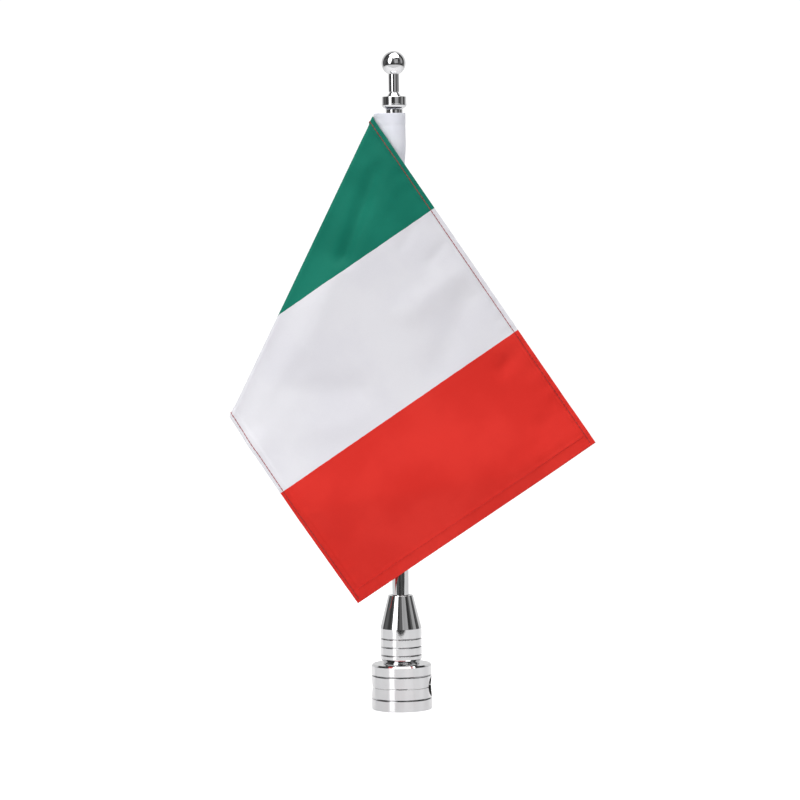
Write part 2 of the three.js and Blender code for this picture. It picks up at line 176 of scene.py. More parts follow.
def opposite(tree, value):
    return math_node(tree, "SUBTRACT", 1.0, value)


def noise_at(tree, place, **settings):
    """Noise from 0 to 1, read at the places that a socket gives."""
    made = node(tree, "TexNoise", **settings)
    tree.links.new(place, made.inputs["Vector"])
    return made.outputs["Fac"]


ROOM_DARK = 0.045
ROOM_FLOOR = 0.85
BACKDROP = 0.78
ROOM_LIGHTER = 0.09
FLOOR_LINE = math.sin(math.radians(-16))
BACKDROP_FULL = math.cos(math.radians(52))
BACKDROP_GONE = math.cos(math.radians(62))
BACKDROP_TOP = 0.75
AMBIENT = 0.28
SKY = 1.06

world = bpy.data.worlds.new("studio")
bpy.context.scene.world = world
world.use_nodes = True
sky = world.node_tree
sky.nodes.clear()
direction = node(sky, "TexCoord").outputs["Generated"]
split = node(sky, "SeparateXYZ")
sky.links.new(direction, split.inputs[0])
height = split.outputs["Z"]
below = opposite(sky, ramp_between(sky, height, FLOOR_LINE - 0.03, FLOOR_LINE + 0.02))
facing = node(sky, "VectorMath", operation="DOT_PRODUCT")
facing.inputs[1].default_value = -toward_camera
sky.links.new(direction, facing.inputs[0])
behind = ramp_between(sky, facing.outputs["Value"], BACKDROP_GONE, BACKDROP_FULL)
low_enough = opposite(sky, ramp_between(sky, height, BACKDROP_TOP, BACKDROP_TOP + 0.1))
backdrop = math_node(sky, "MULTIPLY", math_node(sky, "MULTIPLY", behind, low_enough), BACKDROP)
pale = math_node(sky, "MAXIMUM", math_node(sky, "MULTIPLY", below, ROOM_FLOOR), backdrop)
clutter = noise_at(sky, direction, noise_dimensions="3D", Scale=2.6, Detail=2.0)
room = plus_share(sky, ROOM_DARK, ramp_between(sky, clutter, 0.42, 0.62), ROOM_LIGHTER)
mirror_light = math_node(sky, "MAXIMUM", pale, room)
path = node(sky, "LightPath")
ambient = node(sky, "Mix", data_type="FLOAT")
sky.links.new(path.outputs["Is Glossy Ray"], ambient.inputs[0])
ambient.inputs[2].default_value = AMBIENT
sky.links.new(mirror_light, ambient.inputs[3])
seen = node(sky, "Mix", data_type="FLOAT")
sky.links.new(path.outputs["Is Camera Ray"], seen.inputs[0])
sky.links.new(ambient.outputs[0], seen.inputs[2])
seen.inputs[3].default_value = SKY
background = node(sky, "Background", Color=(1, 1, 1, 1))
sky.links.new(seen.outputs[0], background.inputs["Strength"])
sky.links.new(background.outputs[0], node(sky, "OutputWorld").inputs["Surface"])

# %% Studio: panels and table
def panel(name, azimuth, elevation, away, width, height, radiance, shape="RECTANGLE"):
    """A soft light that faces the stand. Its azimuth is counted from the camera, to the right."""
    light = bpy.data.lights.new(name, "AREA")
    light.shape = shape
    light.size = width * MM
    light.size_y = height * MM
    light.energy = radiance * math.pi * width * height * MM * MM
    placed = bpy.data.objects.new(name, light)
    bpy.context.scene.collection.objects.link(placed)
    turn = VIEW_AZIMUTH + math.radians(azimuth)
    lift = math.radians(elevation)
    out = Vector((math.sin(turn) * math.cos(lift), -math.cos(turn) * math.cos(lift), math.sin(lift)))
    centre = Vector((0, 0, cad_high.z / 2 / MM))
    facing_stand = out.to_track_quat("Z", "Y").to_matrix().to_4x4()
    placed.matrix_world = Matrix.Translation((centre + out * away) * MM) @ facing_stand
    placed.visible_camera = False
    return placed


panel(
    "left_panel",
    azimuth=-38,
    elevation=33,
    away=1700,
    width=980,
    height=2500,
    radiance=2.2,
    shape="ELLIPSE",
)
panel("right_panel", azimuth=26, elevation=22, away=1900, width=1100, height=1300, radiance=0.4)
panel("far_right_panel", azimuth=84, elevation=24, away=1900, width=760, height=1500, radiance=0.33)
panel("top_panel", azimuth=40, elevation=80, away=1500, width=1500, height=1500, radiance=3.3)

TABLE_FRONT = 325
TABLE_SIDE = 1600
TABLE_BACK = 1400
table_mesh = bmesh.new()
bmesh.ops.create_grid(table_mesh, x_segments=1, y_segments=1, size=0.5)
for corner in table_mesh.verts:
    side = corner.co.x * TABLE_SIDE
    depth = TABLE_FRONT if corner.co.y < 0 else -TABLE_BACK
    corner.co = (view_right * side + toward_camera * depth) * MM
bmesh.ops.recalc_face_normals(table_mesh, faces=table_mesh.faces)
table_data = bpy.data.meshes.new("table")
table_mesh.to_mesh(table_data)
table_mesh.free()
if table_data.polygons[0].normal.z < 0:
    table_data.flip_normals()
table = bpy.data.objects.new("table", table_data)
bpy.context.scene.collection.objects.link(table)
bpy.context.scene.view_settings.view_transform = "Standard"
print("table", TABLE_SIDE, "x", TABLE_FRONT + TABLE_BACK, "mm")

# %% [markdown]
# Effects that several finishes share are node groups, built once. Each puts out only a mask, a value
# or a height, and the material mixes it into its own shader.

# %% Shared effect: smudges
def effect(name, inputs, outputs):
    """A new node group with float inputs {name: default} (a None default is a vector) and outputs."""
    group = bpy.data.node_groups.new(name, "ShaderNodeTree")
    for label, default in inputs.items():
        kind = "NodeSocketVector" if default is None else "NodeSocketFloat"
        socket = group.interface.new_socket(label, in_out="INPUT", socket_type=kind)
        if default is not None:
            socket.default_value = default
    for label in outputs:
        group.interface.new_socket(label, in_out="OUTPUT", socket_type="NodeSocketFloat")
    return group, group.nodes.new("NodeGroupInput"), group.nodes.new("NodeGroupOutput")


SMUDGE_EDGE = 0.25
smudges_inputs = {"Place": None, "Size": 9.0, "Cover": 0.5}
smudges, smudges_in, smudges_out = effect("smudges", smudges_inputs, ["Mask"])
scale_up = math_node(smudges, "DIVIDE", 1 / MM, smudges_in.outputs["Size"])
cloud = node(smudges, "TexNoise", noise_dimensions="3D", Detail=5.0, Roughness=0.62, Distortion=0.4)
smudges.links.new(smudges_in.outputs["Place"], cloud.inputs["Vector"])
smudges.links.new(scale_up, cloud.inputs["Scale"])
edge = opposite(smudges, smudges_in.outputs["Cover"])
spread = node(smudges, "MapRange", interpolation_type="SMOOTHSTEP")
smudges.links.new(cloud.outputs["Fac"], spread.inputs["Value"])
smudges.links.new(edge, spread.inputs["From Min"])
smudges.links.new(math_node(smudges, "ADD", edge, SMUDGE_EDGE), spread.inputs["From Max"])
smudges.links.new(spread.outputs["Result"], smudges_out.inputs["Mask"])

# %% Shared effect: hairline scratches
scratches_inputs = {"Place": None, "Cover": 0.1}
scratches, scratches_in, scratches_out = effect("scratches", scratches_inputs, ["Mask"])
masks = []
for turn, stretch in ((0.35, 5200.0), (-1.1, 4300.0)):
    lay = node(scratches, "Mapping")
    lay.inputs["Rotation"].default_value = (turn, turn * 0.7, turn * 1.9)
    lay.inputs["Scale"].default_value = (stretch, stretch * 0.011, stretch * 0.012)
    scratches.links.new(scratches_in.outputs["Place"], lay.inputs["Vector"])
    hair = noise_at(
        scratches, lay.outputs["Vector"], noise_dimensions="3D", Scale=1.0, Detail=2.0, Roughness=0.5
    )
    masks.append(ramp_between(scratches, hair, 0.66, 0.74))
both = math_node(scratches, "MAXIMUM", masks[0], masks[1])
covered = math_node(scratches, "MULTIPLY", both, scratches_in.outputs["Cover"])
scratches.links.new(covered, scratches_out.inputs["Mask"])

# %% Shared effect: plain weave
weave_inputs = {"Cloth": None, "Thread": 0.28}
weave, weave_in, weave_out = effect("weave", weave_inputs, ["Height", "Shade"])
per_metre = math_node(weave, "DIVIDE", 1 / MM, weave_in.outputs["Thread"])
half_turns = math_node(weave, "MULTIPLY", per_metre, math.pi)
apart = node(weave, "SeparateXYZ")
weave.links.new(weave_in.outputs["Cloth"], apart.inputs[0])
warp_at = math_node(weave, "MULTIPLY", apart.outputs["X"], half_turns)
weft_at = math_node(weave, "MULTIPLY", apart.outputs["Y"], half_turns)
warp = math_node(weave, "ABSOLUTE", math_node(weave, "SINE", warp_at))
weft = math_node(weave, "ABSOLUTE", math_node(weave, "SINE", weft_at))
warp_side = math_node(weave, "COSINE", warp_at)
weft_side = math_node(weave, "COSINE", weft_at)
lift = ramp_between(weave, math_node(weave, "MULTIPLY", warp_side, weft_side), -0.25, 0.25)
mixed = node(weave, "Mix", data_type="FLOAT")
weave.links.new(lift, mixed.inputs[0])
weave.links.new(warp, mixed.inputs[2])
weave.links.new(weft, mixed.inputs[3])
weave.links.new(mixed.outputs[0], weave_out.inputs["Height"])
slub = noise_at(
    weave, weave_in.outputs["Cloth"], noise_dimensions="2D", Scale=900.0, Detail=3.0, Roughness=0.6
)
# Shade is painted light: it is highest on the crests of the threads, and the yarn's slubs make it uneven.
weave.links.new(math_node(weave, "MULTIPLY", mixed.outputs[0], slub), weave_out.inputs["Shade"])

# %% Helpers for materials
def place_group(tree, group, **values):
    made = tree.nodes.new("ShaderNodeGroup")
    made.node_tree = group
    for key, value in values.items():
        if isinstance(value, bpy.types.NodeSocket):
            tree.links.new(value, made.inputs[key])
        else:
            made.inputs[key].default_value = value
    return made


def new_material(name):
    material = bpy.data.materials.new(name)
    material.use_nodes = True
    tree = material.node_tree
    shader = tree.nodes["Principled BSDF"]
    return material, tree, shader


def mix_colour(tree, factor, a, b, blend_type="MIX"):
    made = node(tree, "Mix", data_type="RGBA", blend_type=blend_type)
    for socket, value in zip((made.inputs[0], made.inputs[6], made.inputs[7]), (factor, a, b)):
        if isinstance(value, bpy.types.NodeSocket):
            tree.links.new(value, socket)
        else:
            socket.default_value = value
    return made.outputs[2]


def bump(tree, height, distance, strength=1.0, after=None):
    made = node(tree, "Bump", Strength=strength)
    made.inputs["Distance"].default_value = distance * MM
    tree.links.new(height, made.inputs["Height"])
    if after is not None:
        tree.links.new(after, made.inputs["Normal"])
    return made.outputs["Normal"]

# %% [markdown]
# Chrome plate is a thin bright layer over turned and polished steel. It reflects about two thirds of
# the light, a little more at the blue end. Up close it is never perfect: handling leaves faint
# smudges, the polishing wheel leaves hairlines, and the turned form under it shows as very shallow
# rings. All three only touch the roughness and the normal, so the reflections stay clear. Groove
# floors get painted shade: the finish darkens them towards black, more in some patches than others.
# The pieces mark their grooves with an attribute, and the finish reads it.

# %% Chrome
CHROME = (0.70, 0.70, 0.71, 1)
CHROME_SMEARED = (0.64, 0.64, 0.645, 1)
# Painted shade for the groove floors: a near black colour.
CHROME_GROOVE_SHADE = (0.05, 0.05, 0.053, 1)
RING_STRETCH = (40.0, 40.0, 2600.0)
RING_DEPTH = 0.0012

chrome, tree, shader = new_material("chrome_plate")
place = node(tree, "TexCoord").outputs["Object"]
smear = place_group(tree, smudges, Place=place, Size=11.0, Cover=0.5).outputs["Mask"]
haze = place_group(tree, smudges, Place=place, Size=2.2, Cover=0.42).outputs["Mask"]
hairs = place_group(tree, scratches, Place=place, Cover=0.6).outputs["Mask"]
groove_shade_patches = place_group(tree, smudges, Place=place, Size=13.0, Cover=0.62).outputs["Mask"]
groove_mark = node(tree, "Attribute", attribute_name="groove").outputs["Fac"]
# Painted shade: groove floors are darkened towards near black, more in some patches than others.
painted_groove_shade = math_node(tree, "MULTIPLY", groove_mark, plus_share(tree, 0.3, groove_shade_patches, 0.7))
colour = mix_colour(tree, math_node(tree, "MULTIPLY", smear, 0.35), CHROME, CHROME_SMEARED)
colour = mix_colour(tree, painted_groove_shade, colour, CHROME_GROOVE_SHADE)
tree.links.new(colour, shader.inputs["Base Color"])
shader.inputs["Metallic"].default_value = 1.0
rough = plus_share(tree, 0.035, smear, 0.035)
rough = plus_share(tree, rough, haze, 0.02)
rough = plus_share(tree, rough, hairs, 0.12)
tree.links.new(rough, shader.inputs["Roughness"])
rings = node(tree, "Mapping")
rings.inputs["Scale"].default_value = RING_STRETCH
tree.links.new(place, rings.inputs["Vector"])
ring_noise = noise_at(tree, rings.outputs["Vector"], noise_dimensions="3D", Scale=1.0, Detail=2.0)
tree.links.new(bump(tree, ring_noise, RING_DEPTH), shader.inputs["Normal"])

# %% [markdown]
# The table is a glossy white plate. Its gloss matters: at the low angle at which the base mirrors it,
# it shows the left panel as a bright upright band.

# %% Table finish
TABLE_GLOW = 0.2
TABLE_SEEN_GLOW = 0.3
table_white, tree, shader = new_material("table_white")
place = node(tree, "TexCoord").outputs["Object"]
dust = place_group(tree, smudges, Place=place, Size=60.0, Cover=0.5).outputs["Mask"]
shader.inputs["Base Color"].default_value = (0.80, 0.80, 0.805, 1)
shader.inputs["Emission Color"].default_value = (1, 1, 1, 1)
seen_directly = node(tree, "LightPath").outputs["Is Camera Ray"]
glow = plus_share(tree, TABLE_GLOW, seen_directly, TABLE_SEEN_GLOW)
tree.links.new(glow, shader.inputs["Emission Strength"])
shader.inputs["Specular IOR Level"].default_value = 0.14
tree.links.new(plus_share(tree, 0.23, dust, 0.04), shader.inputs["Roughness"])
table.data.materials.append(table_white)

# %% [markdown]
# Every metal part of the stand is turned on a lathe, so each is an outline spun round the pole's
# axis. Sharp corners would look like a drawing: real corners are broken with a small radius, and that
# radius is what catches the light. So an outline is written as corners with a radius each, and a
# helper turns each corner into an arc before the spin. Weighted normals then keep the long walls
# straight in the mirror while the small arcs stay round.

# %% Helpers for turned pieces
ARC_STEPS = 5
SPIN_STEPS = 180


def softened(corners):
    """Outline points from (radius, height, corner radius) corners, with each corner made an arc."""
    points = []
    for i, (r, z, fillet) in enumerate(corners):
        here = Vector((r, z))
        if fillet <= 0 or i in (0, len(corners) - 1):
            points.append(here)
            continue
        back = Vector(corners[i - 1][:2]) - here
        ahead = Vector(corners[i + 1][:2]) - here
        reach = fillet * math.tan((math.pi - back.angle(ahead)) / 2)
        reach = min(reach, back.length * 0.49, ahead.length * 0.49)
        start = here + back.normalized() * reach
        end = here + ahead.normalized() * reach
        for step in range(ARC_STEPS + 1):
            share = step / ARC_STEPS
            points.append(start.lerp(here, share).lerp(here.lerp(end, share), share))
    return points


def finish_mesh(name, bm, material, sharp=35):
    """Writes the bmesh to a new object with smooth shading and one material."""
    data = bpy.data.meshes.new(name)
    bm.to_mesh(data)
    bm.free()
    data.materials.append(material)
    made = bpy.data.objects.new(name, data)
    bpy.context.scene.collection.objects.link(made)
    for face in data.polygons:
        face.use_smooth = True
    data.set_sharp_from_angle(angle=math.radians(sharp))
    return made


def turned(name, corners, material, steps=SPIN_STEPS, place=(0, 0), sharp=35):
    """Spins an outline round the axis through place, with its ends closed on the axis or each other."""
    bm = bmesh.new()
    line = [bm.verts.new((p.x * MM, 0, p.y * MM)) for p in softened(corners)]
    edges = [bm.edges.new(pair) for pair in zip(line, line[1:])]
    whole = line + edges
    bmesh.ops.spin(
        bm, geom=whole, cent=(0, 0, 0), axis=(0, 0, 1), angle=math.tau, steps=steps, use_merge=True
    )
    bmesh.ops.remove_doubles(bm, verts=bm.verts, dist=1e-7)
    bmesh.ops.recalc_face_normals(bm, faces=bm.faces)
    bmesh.ops.translate(bm, verts=bm.verts, vec=Vector((place[0], place[1], 0)) * MM)
    return finish_mesh(name, bm, material, sharp)


def applied(made):
    """Bakes the piece's modifiers into its mesh."""
    graph = bpy.context.evaluated_depsgraph_get()
    baked = bpy.data.meshes.new_from_object(made.evaluated_get(graph))
    old = made.data
    made.modifiers.clear()
    made.data = baked
    bpy.data.meshes.remove(old)
    return made


def cut_away(made, cutters):
    """Takes each cutter out of the piece and removes the cutters."""
    for cutter in cutters:
        taken = made.modifiers.new("cut", "BOOLEAN")
        taken.operation = "DIFFERENCE"
        taken.solver = "EXACT"
        taken.object = cutter
    applied(made)
    for cutter in cutters:
        bpy.data.objects.remove(cutter)
    return made


def mark_grooves(made, wall, heights, width, depth):
    """Writes how far each vertex lies down a groove, from 0 at the wall to 1 at the floor."""
    places = np.empty(len(made.data.vertices) * 3)
    made.data.vertices.foreach_get("co", places)
    places = places.reshape(-1, 3) / MM
    down = np.clip((wall - np.hypot(places[:, 0], places[:, 1])) / depth, 0, 1)
    away = np.min(np.abs(places[:, 2:] - np.array(heights)), axis=1)
    inside = (away < width / 2 + 0.05) & (down > 0)
    mark = made.data.attributes.new("groove", "FLOAT", "POINT")
    mark.data.foreach_set("value", np.where(inside, down, 0).astype(np.float32))
    print(made.name, int(inside.sum()), "groove vertices")


def even_shading(made):
    weighted = made.modifiers.new("even_shading", "WEIGHTED_NORMAL")
    weighted.keep_sharp = True
    weighted.weight = 80
    return made


def belongs(made, body, slot, *nodes):
    """The piece rides on a body and stands for the named nodes, which it hides. The slot argument is not
    used.
    """
    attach(made, body)
    if nodes:
        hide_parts(*nodes)
    print(made.name, len(made.data.polygons), "faces")
    return made

# %% [markdown]
# The base is one thick round, split across the middle. Both halves have a groove, and a bore for the
# rail runs from side to side through the split. The outline is spun first and the bore, the screw
# holes and the head recesses are cut out of it afterwards, as a machinist would do it.

# %% Clamp base
BREAK = 0.18
TOP_CHAMFER = 0.9
FOOT_CHAMFER = 0.4
GROOVE_FROM_SPLIT = 6.2
GROOVE_WIDTH = 0.8
GROOVE_DEPTH = 0.6
SPLIT_GAP = low_z("clamp_upper_body") - high_z("clamp_lower_cap")
BORE_RADIUS = 5.5
SCREW_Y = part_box("clamp_screw_rear")[0].y / MM + radius_of("clamp_screw_rear")
SCREW_HEAD_ROOM = radius_of("clamp_screw_rear") + 0.3
SCREW_HOLE = 2.3
SCREW_SEAT = high_z("clamp_washer_rear") + 0.1


def groove(radius, centre, width, depth):
    """A groove with a round floor and broken edges, as corners of an outline that runs upwards."""
    low, high = centre - width / 2, centre + width / 2
    floor = radius - depth
    corner = 0.22
    return [
        (radius, low, BREAK),
        (floor, low + 0.1, corner),
        (floor, high - 0.1, corner),
        (radius, high, BREAK),
    ]


def rod(radius, low, high, place=(0, 0), steps=64):
    outline = [(0, low, 0), (radius, low, 0), (radius, high, 0), (0, high, 0)]
    return turned("cutter", outline, chrome, steps, place)


def rail_cutter():
    cutter = rod(BORE_RADIUS, -2 * BASE_RADIUS, 2 * BASE_RADIUS, steps=96)
    cutter.data.transform(Matrix.Translation((0, 0, SPLIT_Z * MM)) @ Matrix.Rotation(math.pi / 2, 4, "Y"))
    return cutter


cap_top = SPLIT_Z - SPLIT_GAP / 2
cap = turned(
    "clamp_cap_chrome",
    [
        (0, 0, 0),
        (BASE_RADIUS - FOOT_CHAMFER, 0, BREAK),
        (BASE_RADIUS, FOOT_CHAMFER, BREAK),
        *groove(BASE_RADIUS, SPLIT_Z - GROOVE_FROM_SPLIT, GROOVE_WIDTH, GROOVE_DEPTH),
        (BASE_RADIUS, cap_top, 0.12),
        (0, cap_top, 0),
    ],
    chrome,
)
holes = [rail_cutter()]
for y in (-SCREW_Y, SCREW_Y):
    holes.append(rod(SCREW_HEAD_ROOM, -2, SCREW_SEAT, (0, y)))
    holes.append(rod(SCREW_HOLE, -1, BASE_TOP, (0, y)))
even_shading(cut_away(cap, holes))
mark_grooves(cap, BASE_RADIUS, [SPLIT_Z - GROOVE_FROM_SPLIT], GROOVE_WIDTH, GROOVE_DEPTH)
belongs(cap, "clamp_cap", "chrome", "clamp_lower_cap")

body_foot = SPLIT_Z + SPLIT_GAP / 2
upper = turned(
    "clamp_body_chrome",
    [
        (0, body_foot, 0),
        (BASE_RADIUS, body_foot, 0.12),
        *groove(BASE_RADIUS, SPLIT_Z + GROOVE_FROM_SPLIT, GROOVE_WIDTH, GROOVE_DEPTH),
        (BASE_RADIUS, BASE_TOP - TOP_CHAMFER, BREAK),
        (BASE_RADIUS - TOP_CHAMFER, BASE_TOP, BREAK),
        (0, BASE_TOP, 0),
    ],
    chrome,
)
SCREW_TIP_HOLE = high_z("clamp_screw_rear") + 1
NECK_SCREW_HOLE = 2.8
NECK_SEAT = high_z("neck_screw_washer") + 0.1
holes = [
    rail_cutter(),
    rod(radius_of("neck_screw") + 0.3, SPLIT_Z, NECK_SEAT),
    rod(NECK_SCREW_HOLE, SPLIT_Z, BASE_TOP + 1),
]
holes += [rod(SCREW_HOLE, 0, SCREW_TIP_HOLE, (0, y)) for y in (-SCREW_Y, SCREW_Y)]
even_shading(cut_away(upper, holes))
mark_grooves(upper, BASE_RADIUS, [SPLIT_Z + GROOVE_FROM_SPLIT], GROOVE_WIDTH, GROOVE_DEPTH)
belongs(upper, "mount", "chrome", "clamp_upper_body")

# %% [markdown]
# The neck stands on the base on a small undercut foot. Three grooves ring its straight band, and a
# cone takes it in to the pole, which drops into a shallow socket at the top.

# %% Neck and pole
NECK_FOOT_RADIUS = 9.7
NECK_TAPPED = 9
NECK_TOP_RADIUS = 6.6
FOOT_STRAIGHT = 0.9
FOOT_TAPER = 1.8
BAND_HEIGHT = 16.4
FIRST_GROOVE = 2.1
GROOVE_PITCH = 4.45
SOCKET_DEPTH = 1.6
SOCKET_ROOM = 0.3
PEG_RADIUS = 3.0
PEG_HOLE = 3.3
PEG_HOLE_DEPTH = 11
band_foot = NECK_FOOT + FOOT_STRAIGHT + FOOT_TAPER
NECK_GROOVE_WIDTH = 0.7
NECK_GROOVE_DEPTH = 0.5
groove_heights = [band_foot + FIRST_GROOVE + i * GROOVE_PITCH for i in range(3)]
neck_grooves = []
for height in groove_heights:
    neck_grooves += groove(NECK_RADIUS, height, NECK_GROOVE_WIDTH, NECK_GROOVE_DEPTH)
neck = turned(
    "neck_chrome",
    [
        (0, NECK_FOOT + NECK_TAPPED, 0),
        (NECK_SCREW_HOLE, NECK_FOOT + NECK_TAPPED, 0),
        (NECK_SCREW_HOLE, NECK_FOOT, 0),
        (NECK_FOOT_RADIUS, NECK_FOOT, 0.1),
        (NECK_FOOT_RADIUS, NECK_FOOT + FOOT_STRAIGHT, 0.3),
        (NECK_RADIUS, band_foot, 0.3),
        *neck_grooves,
        (NECK_RADIUS, band_foot + BAND_HEIGHT, 0.5),
        (NECK_TOP_RADIUS, NECK_TOP, 0.3),
        (POLE_RADIUS + SOCKET_ROOM, NECK_TOP, 0.12),
        (POLE_RADIUS + SOCKET_ROOM, NECK_TOP - SOCKET_DEPTH, 0),
        (PEG_HOLE, NECK_TOP - SOCKET_DEPTH, 0),
        (PEG_HOLE, NECK_TOP - SOCKET_DEPTH - PEG_HOLE_DEPTH, 0),
        (0, NECK_TOP - SOCKET_DEPTH - PEG_HOLE_DEPTH, 0),
    ],
    chrome,
)
even_shading(neck)
mark_grooves(neck, NECK_RADIUS, groove_heights, NECK_GROOVE_WIDTH, NECK_GROOVE_DEPTH)
belongs(neck, "mount", "chrome", "neck_collar")

STUD_HOLE = 2.8
STUD_HOLE_DEPTH = 12
pole_foot = NECK_TOP - SOCKET_DEPTH + 0.1
pole = turned(
    "pole_chrome",
    [
        (0, low_z("pole"), 0),
        (PEG_RADIUS, low_z("pole"), 0.2),
        (PEG_RADIUS, pole_foot, 0),
        (POLE_RADIUS, pole_foot, 0.2),
        (POLE_RADIUS, POLE_TOP, 0.25),
        (STUD_HOLE, POLE_TOP, 0.1),
        (STUD_HOLE, POLE_TOP - STUD_HOLE_DEPTH, 0),
        (0, POLE_TOP - STUD_HOLE_DEPTH, 0),
    ],
    chrome,
)
even_shading(pole)
belongs(pole, "mount", "chrome", "pole")

# %% [markdown]
# The finial is a stack of three turned pieces. A collar with a proud lower lip sits on the pole's
# top, a plain stem stands on its small cone, and a polished ball closes it. The ball is a real
# half-circle outline, so its mirror image of the room has no flats in it.

# %% Finial
SKIRT = 2.2
LIP = 0.5
LIP_PROUD = 0.1
CONE_HEIGHT = 2.3
CONE_TIP_RADIUS = 2.35
STEM_HOLE = 1.8
STEM_HOLE_DEPTH = 2.9
STEM_PEG = 1.5
COLLAR_RADIUS = 6.5
COLLAR_TAPPED = 4.3
COLLAR_DISC_TOP = COLLAR_TOP - CONE_HEIGHT
STEM_RADIUS = radius_of("finial_stem")
STEM_FOOT = COLLAR_TOP + 0.1
lip_foot = COLLAR_FOOT + SKIRT
collar = turned(
    "finial_collar_chrome",
    [
        (0, COLLAR_FOOT + COLLAR_TAPPED, 0),
        (STUD_HOLE, COLLAR_FOOT + COLLAR_TAPPED, 0),
        (STUD_HOLE, COLLAR_FOOT, 0.1),
        (POLE_RADIUS + 0.05, COLLAR_FOOT, 0.1),
        (POLE_RADIUS + 0.45, COLLAR_FOOT + 0.55, 0.5),
        (COLLAR_RADIUS - 0.35, lip_foot - 0.9, 1.2),
        (COLLAR_RADIUS + LIP_PROUD, lip_foot, 0.25),
        (COLLAR_RADIUS + LIP_PROUD, lip_foot + LIP, 0.15),
        (COLLAR_RADIUS, lip_foot + LIP + 0.05, 0.02),
        (COLLAR_RADIUS, COLLAR_DISC_TOP, 0.45),
        (3.8, COLLAR_DISC_TOP, 0.25),
        (CONE_TIP_RADIUS, COLLAR_TOP, 0.12),
        (STEM_HOLE, COLLAR_TOP, 0.05),
        (STEM_HOLE, COLLAR_TOP - STEM_HOLE_DEPTH, 0),
        (0, COLLAR_TOP - STEM_HOLE_DEPTH, 0),
    ],
    chrome,
)
even_shading(collar)
belongs(collar, "finial", "chrome", "finial_collar")

ball_flat = math.sqrt(BALL_RADIUS**2 - (STEM_RADIUS + 0.1) ** 2)
STEM_TOP = BALL_Z - ball_flat - 0.1
stem = turned(
    "finial_stem_chrome",
    [
        (0, low_z("finial_stem"), 0),
        (STEM_PEG, low_z("finial_stem"), 0.15),
        (STEM_PEG, STEM_FOOT, 0),
        (STEM_RADIUS, STEM_FOOT, 0.2),
        (STEM_RADIUS, STEM_TOP, 0.1),
        (STEM_PEG, STEM_TOP, 0),
        (STEM_PEG, high_z("finial_stem"), 0.15),
        (0, high_z("finial_stem"), 0),
    ],
    chrome,
)
even_shading(stem)
belongs(stem, "finial", "chrome", "finial_stem")

BALL_STEPS = 72
lowest = math.acos(-ball_flat / BALL_RADIUS)
hole_top = high_z("finial_stem") + 0.3
outline = [(0, hole_top, 0), (STEM_HOLE, hole_top, 0), (STEM_HOLE, BALL_Z - ball_flat, 0)]
for i in range(BALL_STEPS):
    angle = lowest * (1 - i / BALL_STEPS)
    outline.append((BALL_RADIUS * math.sin(angle), BALL_Z + BALL_RADIUS * math.cos(angle), 0))
outline.append((0, BALL_Z + BALL_RADIUS, 0))
ball = turned("finial_ball_chrome", outline, chrome)
belongs(ball, "finial", "chrome", "finial_ball")

# %% [markdown]
# Screws are what a clamp is about, so they are modelled to the thread. A thread is one V-shaped ridge
# that climbs by its pitch on each turn. Spinning a small V round the axis while it climbs gives exactly
# that, and the operator does both at once. The ridge is a separate shell that sinks a little into its
# core, which is how it can be added without a cut.

# %% Blackened and plated steel
def steel_material(name, colour, worn, roughness):
    """Dark or plated steel, with worn bright spots, faint turning marks and light smudges."""
    material, tree, shader = new_material(name)
    place = node(tree, "TexCoord").outputs["Object"]
    wear = place_group(tree, smudges, Place=place, Size=1.6, Cover=0.4).outputs["Mask"]
    hairs = place_group(tree, scratches, Place=place, Cover=0.5).outputs["Mask"]
    marks = math_node(tree, "MAXIMUM", math_node(tree, "MULTIPLY", wear, 0.4), hairs)
    tree.links.new(mix_colour(tree, marks, colour, worn), shader.inputs["Base Color"])
    shader.inputs["Metallic"].default_value = 1.0
    tree.links.new(plus_share(tree, roughness, wear, 0.12), shader.inputs["Roughness"])
    grain = noise_at(tree, place, noise_dimensions="3D", Scale=2500.0, Detail=3.0)
    tree.links.new(bump(tree, grain, 0.01), shader.inputs["Normal"])
    return material


BLACKENED = (0.035, 0.036, 0.04, 1)
RUBBED_BARE = (0.2, 0.2, 0.21, 1)
ZINC = (0.42, 0.43, 0.45, 1)
ZINC_WORN = (0.6, 0.6, 0.6, 1)
black_steel = steel_material("blackened_steel", BLACKENED, RUBBED_BARE, 0.34)
stud_steel = steel_material("zinc_plated_steel", ZINC, ZINC_WORN, 0.26)

# %% Threads
THREAD_SINK = 0.08
THREAD_DEPTH = 0.61


def swept(corners, axis, angle, steps, climb):
    """A bmesh of one face, given by its corners in mm, that is spun and may climb with each step."""
    bm = bmesh.new()
    loop = [bm.verts.new(Vector(corner) * MM) for corner in corners]
    face = bm.faces.new(loop)
    bmesh.ops.spin(
        bm,
        geom=[face] + list(face.edges) + loop,
        cent=(0, 0, 0),
        axis=axis,
        angle=angle,
        steps=steps,
        dvec=climb,
        use_duplicate=False,
    )
    bmesh.ops.remove_doubles(bm, verts=bm.verts, dist=1e-8)
    return bm


def closed(name, bm, material, place, sides=8, sharp=30):
    """Fills the two open ends, turns the faces outwards and moves the piece to its place in mm."""
    open_edges = [edge for edge in bm.edges if edge.is_boundary]
    bmesh.ops.holes_fill(bm, edges=open_edges, sides=sides)
    bmesh.ops.recalc_face_normals(bm, faces=bm.faces)
    bmesh.ops.translate(bm, verts=bm.verts, vec=Vector(place) * MM)
    return finish_mesh(name, bm, material, sharp)


